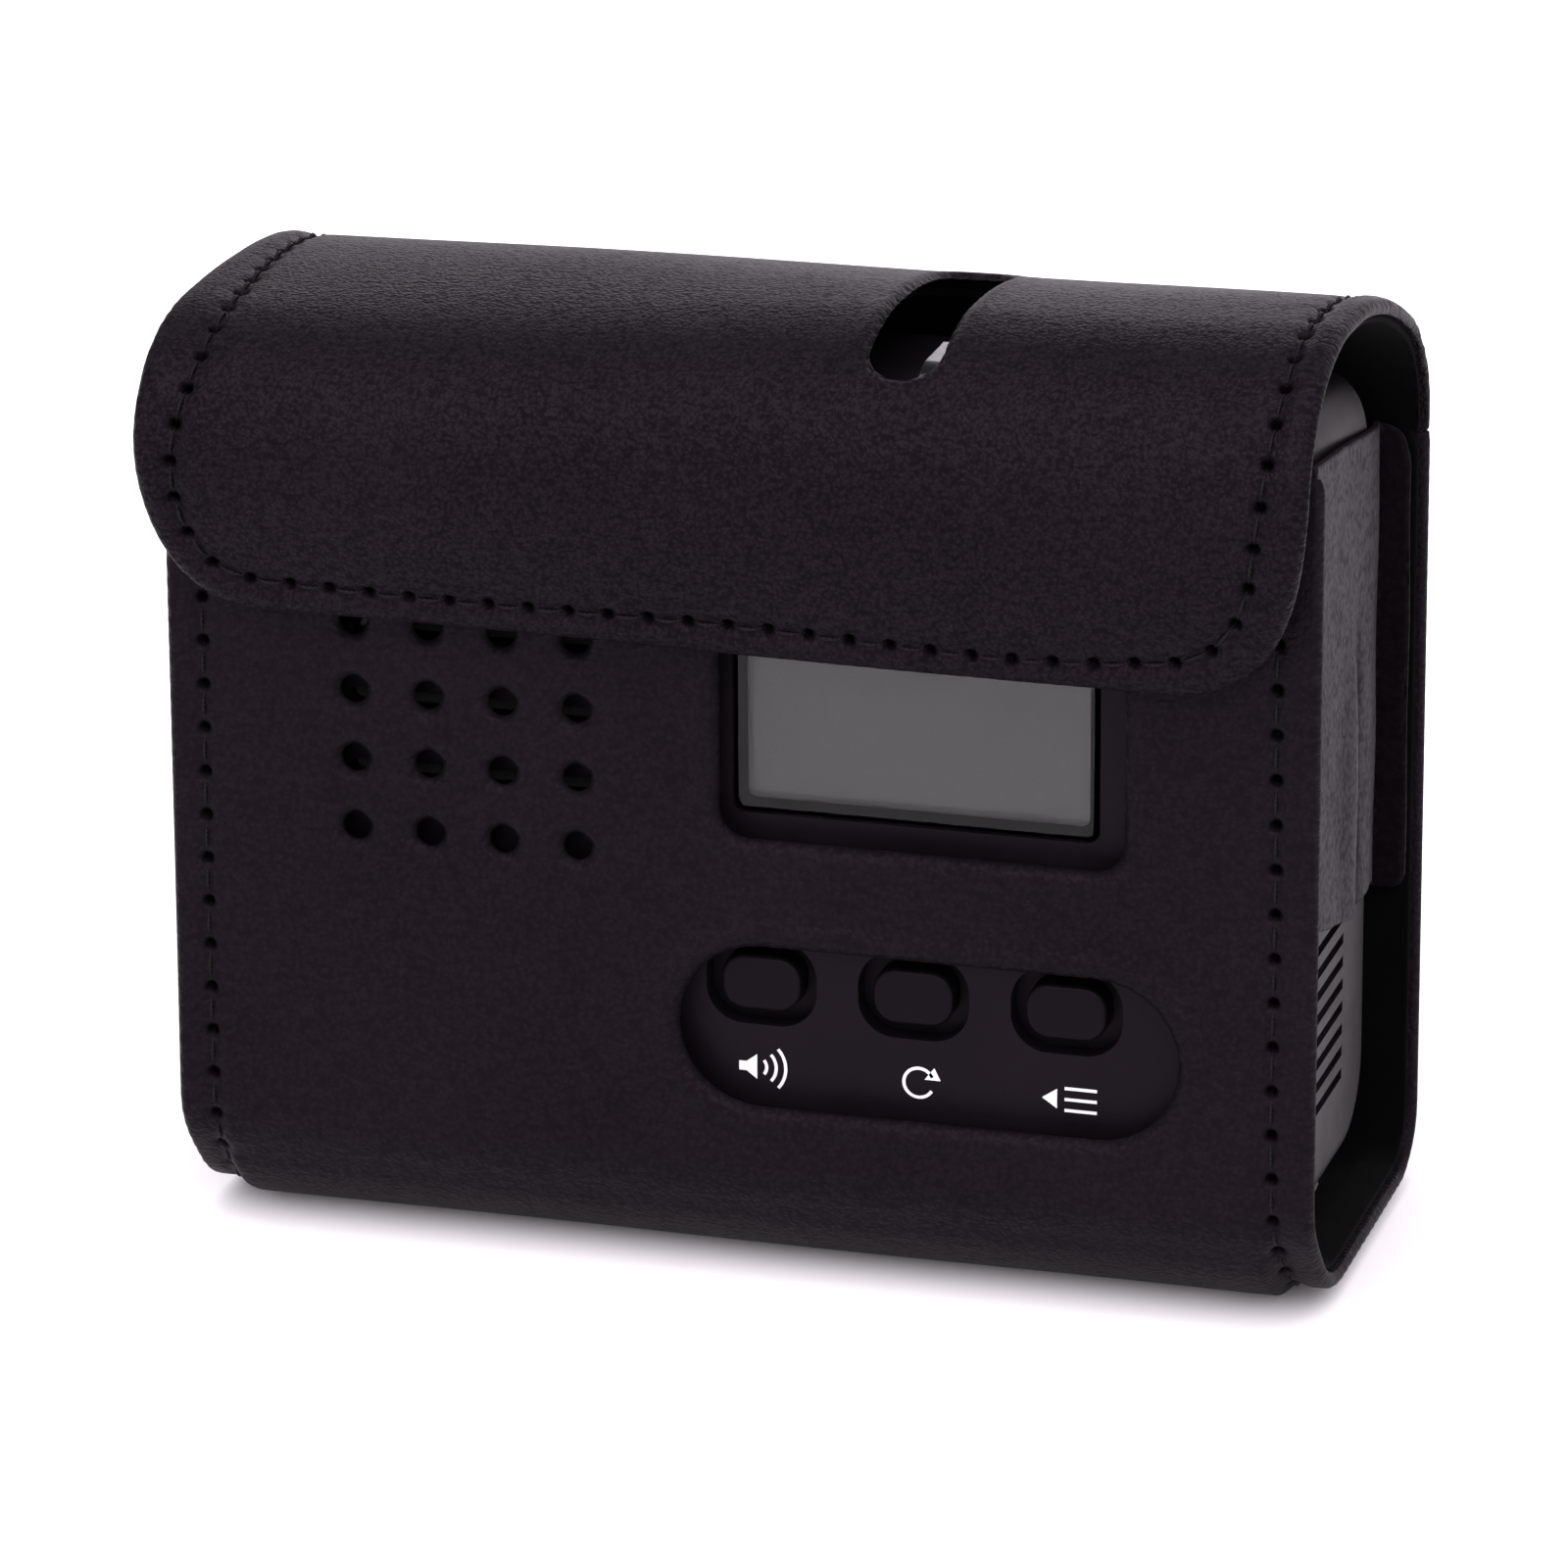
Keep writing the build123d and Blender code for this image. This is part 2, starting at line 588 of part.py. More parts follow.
# ---- export ------------------------------------------------------------------
def main():
    parts = {
        "case_wrap": make_case_wrap(),
        "case_lining": make_case_lining(),
        "base_pad": make_base_pad(),
        "gusset_left": make_gusset(-1),
        "gusset_right": make_gusset(1),
        "belt_loop": make_belt_loop(),
        "closure_loop_patch": make_loop_patch(),
        "closure_hook_patch": make_hook_patch(),
        "flap": make_flap(),
        "flap_lining": make_flap_lining(),
        "front_housing": make_front_housing(),
        "rear_housing": make_rear_housing(),
        "battery_door": make_battery_door(),
        "battery_cells": make_battery_cells(),
        "battery_contacts": make_battery_contacts(),
        "housing_screws": make_housing_screws(),
        "display_window": make_window(),
        "display_glass": make_display_glass(),
        "display_frame": make_display_frame(),
        "display_contact_strips": make_contact_strips(),
        "main_board": make_main_board(),
        "board_screws": make_board_screws(),
        "speaker": make_speaker(),
        "speaker_felt": make_speaker_felt(),
        "microphone": make_microphone(),
        "key_switches": make_key_switches(),
        "alert_lens": make_alert_lens(),
        "alert_lamp": make_alert_lamp(),
    }
    for name, x in zip(KEY_NAMES, key_places()):
        parts[name] = make_key(x)
    os.makedirs("parts", exist_ok=True)
    for name, shape in parts.items():
        export_step(shape, os.path.join("parts", name + ".step"))
        box = shape.bounding_box()
        print(f"{name:24s} y {box.min.Y:7.2f} {box.max.Y:7.2f}  z {box.min.Z:6.2f} {box.max.Z:6.2f}")


main()
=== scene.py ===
import math

import bpy
import numpy as np
from mathutils import Matrix, Vector
from mathutils.geometry import delaunay_2d_cdt
from mathutils.kdtree import KDTree


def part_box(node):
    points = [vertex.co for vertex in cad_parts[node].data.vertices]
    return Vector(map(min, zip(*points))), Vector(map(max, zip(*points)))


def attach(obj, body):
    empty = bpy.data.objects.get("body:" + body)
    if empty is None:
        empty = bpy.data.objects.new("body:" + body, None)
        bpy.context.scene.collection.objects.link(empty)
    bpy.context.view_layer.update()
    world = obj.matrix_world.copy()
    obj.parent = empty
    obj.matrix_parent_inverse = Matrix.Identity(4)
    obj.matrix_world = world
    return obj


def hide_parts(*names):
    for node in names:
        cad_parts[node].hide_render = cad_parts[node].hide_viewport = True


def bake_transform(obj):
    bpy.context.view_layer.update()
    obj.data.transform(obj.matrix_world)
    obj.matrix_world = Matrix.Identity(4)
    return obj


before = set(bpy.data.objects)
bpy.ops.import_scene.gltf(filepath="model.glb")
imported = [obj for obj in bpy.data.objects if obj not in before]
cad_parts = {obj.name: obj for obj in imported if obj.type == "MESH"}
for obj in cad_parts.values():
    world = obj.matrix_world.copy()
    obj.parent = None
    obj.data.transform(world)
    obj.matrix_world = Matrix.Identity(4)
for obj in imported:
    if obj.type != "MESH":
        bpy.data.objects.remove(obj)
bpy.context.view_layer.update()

# Lengths are millimetres in the part's frame, and turn into metres where a mesh is made.
MM = 0.001
FRONT = -22.1           # y of the front panel's face
BACK = 22.1             # y of the back panel's face
LEATHER = 1.4           # thickness of the leatherette
LINING = 0.7            # thickness of the suede inside it
NO_DETAIL = np.zeros((0, 2))


# ---- curves --------------------------------------------------------------------
def ramp(x, a, b):
    """0 before a, 1 after b, and smooth between them."""
    t = np.clip((x - a) / (b - a), 0, 1)
    return t * t * (3 - 2 * t)


def bump(x, width):
    """1 at 0, falling smoothly to nothing over a few widths."""
    return np.exp(-(x / width) ** 2)


def spline(points, step=0.4):
    """Smooth line through the points, as points about a step apart."""
    p = np.array(points, float)
    gap = np.linalg.norm(np.diff(p, axis=0), axis=1)
    slope = np.diff(p, axis=0) / gap[:, None]
    tangent = np.empty_like(p)
    blend = slope[:-1] * gap[1:, None] + slope[1:] * gap[:-1, None]
    tangent[1:-1] = blend / (gap[:-1] + gap[1:])[:, None]
    tangent[0] = slope[0]
    tangent[-1] = slope[-1]
    line = []
    for i, g in enumerate(gap):
        t = np.linspace(0, 1, max(2, int(g / step) + 1), endpoint=False)[:, None]
        line.append((2 * t**3 - 3 * t**2 + 1) * p[i] + (t**3 - 2 * t**2 + t) * g * tangent[i]
                    + (3 * t**2 - 2 * t**3) * p[i + 1] + (t**3 - t**2) * g * tangent[i + 1])
    return np.vstack(line + [p[-1:]])


def bezier(a, b, c, d, count=24):
    """Points on a cubic curve with four control points."""
    t = np.linspace(0, 1, count)[:, None]
    return ((1 - t) ** 3 * np.array(a) + 3 * (1 - t) ** 2 * t * np.array(b)
            + 3 * (1 - t) * t ** 2 * np.array(c) + t ** 3 * np.array(d))


def arc(centre, radius, start, end, count=16):
    """Points on an arc, its angles in degrees."""
    a = np.radians(np.linspace(start, end, count))
    return np.stack([centre[0] + radius * np.cos(a), centre[1] + radius * np.sin(a)], -1)


class Line:
    """An open line through points in a plane, read by the distance along it."""

    def __init__(self, points):
        p = np.array(points, float)
        keep = np.concatenate([[True], np.linalg.norm(np.diff(p, axis=0), axis=1) > 1e-6])
        self.points = p[keep]
        gap = np.linalg.norm(np.diff(self.points, axis=0), axis=1)
        self.run = np.concatenate([[0], np.cumsum(gap)])
        self.length = self.run[-1]

    def at(self, s):
        return np.stack([np.interp(s, self.run, column) for column in self.points.T], -1)

    def marks(self, pitch):
        """Points a whole number of pitches apart, nearly, from end to end."""
        count = max(2, int(round(self.length / pitch)) + 1)
        return self.at(np.linspace(0, self.length, count))


def rounded(width, height, radius, x, y):
    """Rounded rectangle, counter-clockwise."""
    w, h = width / 2 - radius, height / 2 - radius
    corners = [(x + w, y + h), (x - w, y + h), (x - w, y - h), (x + w, y - h)]
    return np.vstack([arc(c, radius, 90 * k, 90 * k + 90, 9) for k, c in enumerate(corners)])


def closed(points, step):
    """A closed loop with its points about a step apart, counter-clockwise."""
    p = np.vstack([points, points[:1]])
    line = Line(p)
    loop = line.at(np.linspace(0, line.length, max(8, int(line.length / step)), endpoint=False))
    x, y = loop.T
    return loop if np.sum(x * np.roll(y, -1) - y * np.roll(x, -1)) > 0 else loop[::-1]


def near(points):
    """A measure of the distance from many places to the nearest of these points."""
    tree = KDTree(len(points))
    for i, p in enumerate(points):
        tree.insert((p[0], p[1], 0), i)
    tree.balance()
    return lambda places: np.array([tree.find((x, y, 0))[2] for x, y in places])


def inside(loop, places):
    """Which places lie in a loop."""
    x, y = places[:, 0][:, None], places[:, 1][:, None]
    found = np.zeros(len(places), bool)
    for i in range(0, len(loop), 200):
        a = loop[i:i + 200]
        b = np.roll(loop, -1, axis=0)[i:i + 200]
        meets = (b[:, 0] - a[:, 0]) * (y - a[:, 1]) / (b[:, 1] - a[:, 1] + 1e-12) + a[:, 0]
        cross = ((a[:, 1] > y) != (b[:, 1] > y)) & (x < meets)
        found ^= (np.sum(cross, axis=1) % 2).astype(bool)
    return found


# ---- meshes --------------------------------------------------------------------
ROW_STEP = 0.866        # rows of a triangular grid, as a part of its pitch
FINE_EDGE = 3.2         # the fine grid reaches this far in from an edge,
FINE_DETAIL = 1.9       # and this far from a detail point
PIT_RINGS = ((0.0, 1), (0.28, 6), (0.52, 9), (0.8, 12))     # radius and points round a stitch hole
PIT_CLEAR = 0.85        # no grid point lies nearer to a stitch hole than this
RING_CLEAR = 0.18       # nor nearer to an edge


def make_object(name, points, faces, material, flat=None, smooth=True):
    """Mesh object from points in millimetres; flat is each point's place on the unrolled sheet."""
    mesh = bpy.data.meshes.new(name)
    mesh.from_pydata((np.asarray(points) * MM).tolist(), [], faces)
    if flat is not None:
        layer = mesh.uv_layers.new(name="flat")
        index = np.empty(len(mesh.loops), np.int32)
        mesh.loops.foreach_get("vertex_index", index)
        layer.data.foreach_set("uv", np.asarray(flat, np.float32)[index].ravel())
    mesh.polygons.foreach_set("use_smooth", [smooth] * len(mesh.polygons))
    mesh.materials.append(material)
    mesh.update()
    obj = bpy.data.objects.new(name, mesh)
    bpy.context.scene.collection.objects.link(obj)
    return obj


def net(outline, holes, coarse, fine, detail, rings=(0.25, 0.55, 0.95), hole_step=0.45, pits=None):
    """Triangles over a flat cut with holes: finer near its edges, detail points and pits."""
    loops = [closed(outline, 0.9)] + [closed(h, hole_step)[::-1] for h in holes]
    points = [np.vstack(loops)]
    for loop in loops:
        along = np.roll(loop, -1, axis=0) - np.roll(loop, 1, axis=0)
        along /= np.linalg.norm(along, axis=1)[:, None]
        normal = np.stack([-along[:, 1], along[:, 0]], -1)
        points += [loop + normal * r for r in rings]
    edge = near(np.vstack([closed(loop, 0.2) for loop in loops]))
    low, high = loops[0].min(axis=0), loops[0].max(axis=0)
    for pitch, wanted in ((coarse, False), (fine, True)):
        rows = []
        for i, v in enumerate(np.arange(low[1], high[1], pitch * ROW_STEP)):
            row = np.arange(low[0] + (i % 2) * pitch / 2, high[0], pitch)
            rows.append(np.stack([row, np.full_like(row, v)], -1))
        grid = np.vstack(rows)
        grid = grid[edge(grid) > rings[-1] + 0.45 * fine]
        is_fine = edge(grid) < FINE_EDGE
        if len(detail):
            is_fine |= near(detail)(grid) < FINE_DETAIL
        grid = grid[is_fine == wanted]
        if pits is not None:
            grid = grid[near(pits)(grid) > PIT_CLEAR]
        points.append(grid)
    if pits is not None:
        for radius, count in PIT_RINGS:
            a = np.arange(count) * 2 * math.pi / count + radius
            ring = np.stack([np.cos(a), np.sin(a)], -1) * radius
            points.append((pits[:, None, :] + ring[None, :, :]).reshape(-1, 2))
    cloud = np.vstack(points)
    solid = inside(loops[0], cloud)
    for hole in loops[1:]:
        solid &= ~inside(hole, cloud)
    count = sum(len(loop) for loop in loops)
    solid[:count] = True
    # a ring may not come too near another loop
    clear_of_loops = np.ones(len(cloud), bool)
    clear_of_loops[count:] = edge(cloud[count:]) > RING_CLEAR
    cloud = cloud[solid & clear_of_loops]
    edges = []
    first = 0
    for loop in loops:
        n = len(loop)
        edges += [(first + i, first + (i + 1) % n) for i in range(n)]
        first += n
    cloud = [Vector(p) for p in cloud.tolist()]
    verts, _, faces, _, _, _ = delaunay_2d_cdt(cloud, edges, [], 0, 1e-5, False)
    verts = np.array([tuple(v) for v in verts])
    faces = np.array([f for f in faces if len(f) == 3])
    middle = verts[faces].mean(axis=1)
    keep = inside(loops[0], middle)
    for hole in loops[1:]:
        keep &= ~inside(hole, middle)
    faces = faces[keep]
    a, b, c = (verts[faces[:, k]] for k in range(3))
    turn = (b[:, 0] - a[:, 0]) * (c[:, 1] - a[:, 1]) - (b[:, 1] - a[:, 1]) * (c[:, 0] - a[:, 0])
    faces[turn < 0] = faces[turn < 0][:, ::-1]
    return verts, faces, edge


def layer(name, verts, faces, surface, outer, inner, material, rim=4, swell=0.35):
    """A sheet with thickness, between the heights outer and inner over a surface; its rim is rounded."""
    top = surface(verts, outer)
    base = surface(verts, inner)
    count = len(verts)
    seen = dict.fromkeys(e for a, b, c in faces.tolist() for e in ((a, b), (b, c), (c, a)))
    rim_edges = [e for e in seen if (e[1], e[0]) not in seen]
    rim_ids = sorted({a for a, _ in rim_edges})
    order = {v: i for i, v in enumerate(rim_ids)}
    out = np.zeros((count, 2))
    for a, b in rim_edges:
        d = verts[b] - verts[a]
        n = np.array([d[1], -d[0]]) / max(np.linalg.norm(d), 1e-9)
        out[a] += n
        out[b] += n
    ids = np.array(rim_ids)
    out = out[ids]
    out /= np.maximum(np.linalg.norm(out, axis=1), 1e-9)[:, None]
    points = [top, base]
    flat = [verts, verts]
    for k in range(1, rim):
        t = k / rim
        push = swell * math.sin(math.pi * t)
        h = outer[ids] * (1 - t) + inner[ids] * t
        points.append(surface(verts[ids] + out * push, h))
        flat.append(verts[ids] + out * push)

    def row(k, v):
        if k == 0:
            return v
        if k == rim:
            return count + v
        return 2 * count + (k - 1) * len(ids) + order[v]

    quads = [(row(k, a), row(k, b), row(k + 1, b), row(k + 1, a)) for a, b in rim_edges for k in range(rim)]
    all_faces = faces[:, ::-1].tolist() + (faces + count).tolist() + quads
    return make_object(name, np.vstack(points), all_faces, material, np.vstack(flat))


def tubes(name, lines, radius, material, sides=7):
    """Short lengths of thread, one for each line of points, with rounded ends."""
    points, faces = [], []
    for line in lines:
        p = np.asarray(line, float)
        n = len(p)
        tangent = np.gradient(p, axis=0)
        tangent /= np.linalg.norm(tangent, axis=1)[:, None]
        steep = abs(tangent[:, 2]).mean() >= 0.8
        side = np.cross(tangent, [0.0, 1.0, 0.0] if steep else [0.0, 0.0, 1.0])
        side /= np.linalg.norm(side, axis=1)[:, None]
        other = np.cross(side, tangent)
        first = len(points)
        for i in range(n):
            t = i / (n - 1)
            r = radius * (0.55 + 0.45 * math.sin(math.pi * min(max(t * 1.6 - 0.3, 0.0), 1.0)))
            for k in range(sides):
                a = 2 * math.pi * k / sides
                points.append(p[i] + r * (math.cos(a) * side[i] + math.sin(a) * other[i]))
        for i in range(n - 1):
            for k in range(sides):
                j = (k + 1) % sides
                faces.append((first + i * sides + k, first + i * sides + j,
                              first + (i + 1) * sides + j, first + (i + 1) * sides + k))
        faces.append(tuple(first + k for k in reversed(range(sides))))
        faces.append(tuple(first + (n - 1) * sides + k for k in range(sides)))
    return make_object(name, points, faces, material)


def stitches(name, holes, surface, radius=0.19, rise=-0.06, sink=0.75, gap=0.1):
    """A seam: a thread from each hole of a row to the next, dipping in at both ends."""
    lines = []
    arch = np.sin(np.pi * np.linspace(0, 1, 9)) ** 0.6
    for a, b in zip(holes[:-1], holes[1:]):
        t = np.linspace(gap, 1 - gap, 9)
        lines.append(surface(a + (b - a) * t[:, None], -sink + (sink + rise) * arch))
    return tubes(name, lines, radius, THREAD)


# ---- materials -----------------------------------------------------------------
class Paint:
    """A node material with one Principled shader; numbers go straight on its sockets."""

    def __init__(self, name, colour, roughness, **sockets):
        self.material = bpy.data.materials.new(name)
        self.material.use_nodes = True
        self.tree = self.material.node_tree
        self.shader = self.tree.nodes["Principled BSDF"]
        self.set(self.shader, "Base Color", (*colour, 1.0))
        self.set(self.shader, "Roughness", roughness)
        for key, value in sockets.items():
            self.set(self.shader, key.replace("_", " "), value)
        self.height = None

    def set(self, node, key, value):
        """Links a socket to an input, or sets the input's value."""
        if isinstance(value, bpy.types.NodeSocket):
            self.tree.links.new(value, node.inputs[key])
        else:
            node.inputs[key].default_value = value

    def node(self, kind, inputs=None, **settings):
        """A new node with its settings made and its inputs set or linked."""
        node = self.tree.nodes.new(kind)
        for key, value in settings.items():
            setattr(node, key, value)
        for key, value in (inputs or {}).items():
            self.set(node, key, value)
        return node

    def place(self, flat=False, stretch=(1, 1, 1)):
        """Coordinates in millimetres, of the object or of the unrolled sheet."""
        if flat:
            source = self.node("ShaderNodeUVMap", uv_map="flat").outputs["UV"]
        else:
            source = self.node("ShaderNodeTexCoord").outputs["Object"]
        scale = tuple(s * (1 if flat else 1000) for s in stretch)
        return self.node("ShaderNodeMapping", {"Vector": source, "Scale": scale}).outputs["Vector"]

    def noise(self, where, scale, detail=3.0, rough=0.55):
        return self.node("ShaderNodeTexNoise", {"Vector": where, "Scale": scale, "Detail": detail,
                                                "Roughness": rough}).outputs["Fac"]

    def cells(self, where, scale, feature="F1", smoothness=0.4):
        node = self.node("ShaderNodeTexVoronoi", {"Vector": where, "Scale": scale}, feature=feature)
        if feature == "SMOOTH_F1":
            node.inputs["Smoothness"].default_value = smoothness
        return node.outputs["Distance"]

    def math(self, operation, a, b=0.0):
        return self.node("ShaderNodeMath", {0: a, 1: b}, operation=operation).outputs[0]

    def range(self, value, a, b, c, d):
        return self.node("ShaderNodeMapRange", {"Value": value, "From Min": a, "From Max": b, "To Min": c,
                                                "To Max": d}).outputs["Result"]

    def mix(self, factor, a, b):
        node = self.node("ShaderNodeMix", data_type="RGBA")
        self.set(node, 0, factor)
        self.set(node, 6, (*a, 1.0) if isinstance(a, tuple) else a)
        self.set(node, 7, (*b, 1.0) if isinstance(b, tuple) else b)
        return node.outputs[2]

    def relief(self, height, distance, strength=1.0):
        """Bump from a height of 0 to 1, its distance in millimetres."""
        inputs = {"Height": height, "Distance": distance * MM, "Strength": strength}
        if self.height is not None:
            inputs["Normal"] = self.height
        self.height = self.node("ShaderNodeBump", inputs).outputs["Normal"]
        self.set(self.shader, "Normal", self.height)


SHINE = 0.056                   # specular level of the leatherette
SHINE_TINT = (1.0, 0.76, 1.0, 1.0)
BLACK = (0.0034, 0.0026, 0.0034)
# painted shade: the near black given to stitch holes and to the gusset's flange
PAINTED_SHADE_BLACK = (0.0004, 0.0003, 0.0004)


def leather(name, grain, depth, colour=BLACK, rough=(0.40, 0.56), contrast=0.35):
    """Grained leatherette: pebbles of about a grain across, with longer wrinkles between them."""
    p = Paint(name, colour, 0.5, Specular_IOR_Level=SHINE, Specular_Tint=SHINE_TINT)
    where = p.place(True)
    warp = p.node("ShaderNodeTexNoise", {"Vector": where, "Scale": 0.45 / grain, "Detail": 2.0})
    spread = p.node("ShaderNodeVectorMath", {0: warp.outputs["Color"], "Scale": 6.0 * grain},
                    operation="SCALE")
    moved = p.node("ShaderNodeVectorMath", {0: spread.outputs[0], 1: where}, operation="ADD").outputs[0]
    shifted = p.node("ShaderNodeMix", data_type="VECTOR")
    for key, value in ((0, 0.28), (4, where), (5, moved)):
        p.set(shifted, key, value)
    place = shifted.outputs[1]
    pebble = p.cells(place, 1.0 / grain, "SMOOTH_F1", 0.55)
    pebble = p.range(pebble, 0.1, 0.75, 1.0, 0.0)
    fine = p.noise(where, 2.6 / grain, 4.0, 0.6)
    long_way = p.node("ShaderNodeMapping", {"Vector": place, "Scale": (0.35, 1.0, 1.0),
                                           "Rotation": (0, 0, 0.12)}).outputs["Vector"]
    folds = p.noise(long_way, 0.8 / grain, 2.0, 0.5)
    total = p.math("ADD", p.math("MULTIPLY", pebble, 0.5), p.math("MULTIPLY", fine, 0.35))
    total = p.math("ADD", total, p.math("MULTIPLY", folds, 0.6))
    p.relief(total, depth)
    shine = p.range(total, 0.45, 1.0, SHINE * (1 - 2 * contrast), SHINE * (1 + 2 * contrast))
    # Painted shade: a point attribute makes stitch holes and the gusset flange near black, with less shine.
    painted_shade = p.node("ShaderNodeAttribute", attribute_name="painted_shade").outputs["Fac"]
    shine = p.math("MULTIPLY", shine, p.range(painted_shade, 0.0, 1.0, 1.0, 0.2))
    p.set(p.shader, "Specular IOR Level", shine)
    blotch = p.noise(where, 0.035, 3.0, 0.6)
    both = p.math("ADD", p.math("MULTIPLY", fine, 0.5), p.math("MULTIPLY", blotch, 0.5))
    p.set(p.shader, "Roughness", p.range(both, 0.3, 0.7, *rough))
    lift = tuple(c * 1.45 for c in colour)
    tone = p.mix(p.range(blotch, 0.35, 0.7, 0.0, 1.0), colour, lift)
    p.set(p.shader, "Base Color", p.mix(painted_shade, tone, PAINTED_SHADE_BLACK))
    return p.material


def cloth(name, colour, size, depth, sheen, flat=False):
    """Napped suede or felt."""
    p = Paint(name, colour, 0.95, Specular_IOR_Level=0.02, Sheen_Weight=sheen, Sheen_Roughness=0.6)
    where = p.place(flat)
    nap = p.noise(where, 1.0 / size, 5.0, 0.75)
    broad = p.noise(where, 0.12, 3.0, 0.6)
    p.relief(p.math("ADD", nap, p.math("MULTIPLY", broad, 0.4)), depth)
    both = p.math("ADD", p.math("MULTIPLY", nap, 0.5), p.math("MULTIPLY", broad, 0.5))
    dark, light = (tuple(c * part for c in colour) for part in (0.55, 1.5))
    p.set(p.shader, "Base Color", p.mix(p.range(both, 0.35, 0.65, 0.0, 1.0), dark, light))
    return p.material


def plastic(name, colour, roughness, grain=0.16, depth=0.012, specular=0.45, vary=0.08):
    """Moulded plastic with a fine eroded texture."""
    p = Paint(name, colour, roughness, Specular_IOR_Level=specular, Specular_Tint=(1.0, 0.8, 1.0, 1.0))
    where = p.place()
    fine = p.noise(where, 1.0 / grain, 3.0, 0.6)
    broad = p.noise(where, 0.07, 3.0, 0.6)
    p.relief(fine, depth)
    p.set(p.shader, "Roughness", p.range(broad, 0.3, 0.7, roughness - vary, roughness + vary))
    dark, light = (tuple(c * part for c in colour) for part in (0.85, 1.2))
    p.set(p.shader, "Base Color", p.mix(p.range(broad, 0.3, 0.7, 0.0, 1.0), dark, light))
    return p.material


def metal(name, colour, roughness, stretch=(1, 1, 1)):
    """Bare metal with drawn or rolled lines."""
    p = Paint(name, colour, roughness, Metallic=1.0)
    where = p.place(stretch=stretch)
    lines = p.noise(where, 2.5, 3.0, 0.6)
    p.relief(lines, 0.004)
    p.set(p.shader, "Roughness", p.range(lines, 0.3, 0.7, roughness * 0.75, roughness * 1.3))
    return p.material


def clear(name, colour, roughness, ior=1.49):
    """Clear moulded plastic, a little uneven."""
    p = Paint(name, colour, roughness, IOR=ior, Transmission_Weight=1.0)
    where = p.place()
    p.relief(p.noise(where, 0.25, 2.0, 0.5), 0.004)
    uneven = p.noise(where, 0.4, 3.0, 0.6)
    p.set(p.shader, "Roughness", p.range(uneven, 0.3, 0.7, roughness, roughness + 0.03))
    return p.material


def display_face():
    """Grey face of the display with nothing lit, a little cloudy."""
    p = Paint("display_face", (0.15, 0.165, 0.145), 0.35, Specular_IOR_Level=0.3)
    where = p.place()
    tone = p.range(p.noise(where, 0.05, 2.0, 0.5), 0.3, 0.7, 0.0, 1.0)
    p.set(p.shader, "Base Color", p.mix(tone, (0.0235, 0.0225, 0.0230), (0.0275, 0.0265, 0.0272)))
    p.relief(p.noise(where, 6.0, 2.0, 0.5), 0.002)
    return p.material


PANEL_LEATHER = leather("leather_panel", 0.5, 0.12, contrast=0.2)
FLAP_LEATHER = leather("leather_flap", 0.38, 0.15, rough=(0.36, 0.5), contrast=0.36)
GUSSET_LEATHER = leather("leather_gusset", 0.7, 0.05, (0.0085, 0.0066, 0.0083), rough=(0.5, 0.64))
SUEDE = cloth("suede", (0.0009, 0.0008, 0.0009), 0.22, 0.06, 0.01, flat=True)
FELT = cloth("felt", (0.012, 0.012, 0.012), 0.3, 0.12, 0.3)
FUZZ = cloth("fuzz", (0.010, 0.010, 0.011), 0.2, 0.08, 0.4)


def thread_paint():
    """Twisted black thread."""
    p = Paint("thread", (0.0022, 0.0018, 0.0022), 0.6, Specular_IOR_Level=0.12)
    twist = p.node("ShaderNodeTexWave", {"Vector": p.place(), "Scale": 1.3, "Distortion": 0.6},
                   bands_direction="DIAGONAL")
    p.relief(twist.outputs["Fac"], 0.05)
    return p.material


THREAD = thread_paint()
UNIT_PLASTIC = plastic("unit_plastic", (0.0036, 0.0028, 0.0037), 0.40, 0.2, 0.02, 0.075)
KEY_PLASTIC = plastic("key_plastic", (0.0024, 0.0020, 0.0025), 0.4, 0.14, 0.008, 0.065)
FRAME_PLASTIC = plastic("frame_plastic", (0.014, 0.014, 0.014), 0.5)
BOARD = plastic("board", (0.006, 0.05, 0.016), 0.3, 0.5, 0.02)
RUBBER = plastic("contact_rubber", (0.2, 0.07, 0.06), 0.6, 0.3, 0.02)
STEEL = metal("steel", (0.55, 0.55, 0.56), 0.28, (1, 1, 4))
PRESSED = metal("pressed_metal", (0.28, 0.28, 0.29), 0.4)
WINDOW = clear("clear_window", (0.96, 0.98, 0.96), 0.0, 1.3)
LENS = clear("clear_lens", (0.62, 0.63, 0.66), 0.12, 1.32)
LAMP = clear("lamp_red", (0.75, 0.05, 0.04), 0.05)
LCD = display_face()


def cell_paint():
    """Battery sleeve: a dark band and a plain coloured one along each cell."""
    p = Paint("cell_jacket", (0.05, 0.05, 0.055), 0.3, Specular_IOR_Level=0.5)
    where = p.place()
    x = p.node("ShaderNodeSeparateXYZ", {"Vector": where}).outputs["X"]
    band = p.range(x, 8.0, 8.3, 0.0, 1.0)
    p.set(p.shader, "Base Color", p.mix(band, (0.03, 0.03, 0.035), (0.35, 0.17, 0.05)))
    p.set(p.shader, "Metallic", p.range(p.math("ABSOLUTE", x), 24.4, 24.5, 0.2, 1.0))
    p.relief(p.noise(where, 3.0), 0.004)
    return p.material


CELL = cell_paint()


def dress(node, material):
    """Gives a CAD piece its material."""
    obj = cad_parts[node]
    if not obj.material_slots:
        obj.data.materials.append(material)
    for s in obj.material_slots:
        s.link = "OBJECT"
        s.material = material


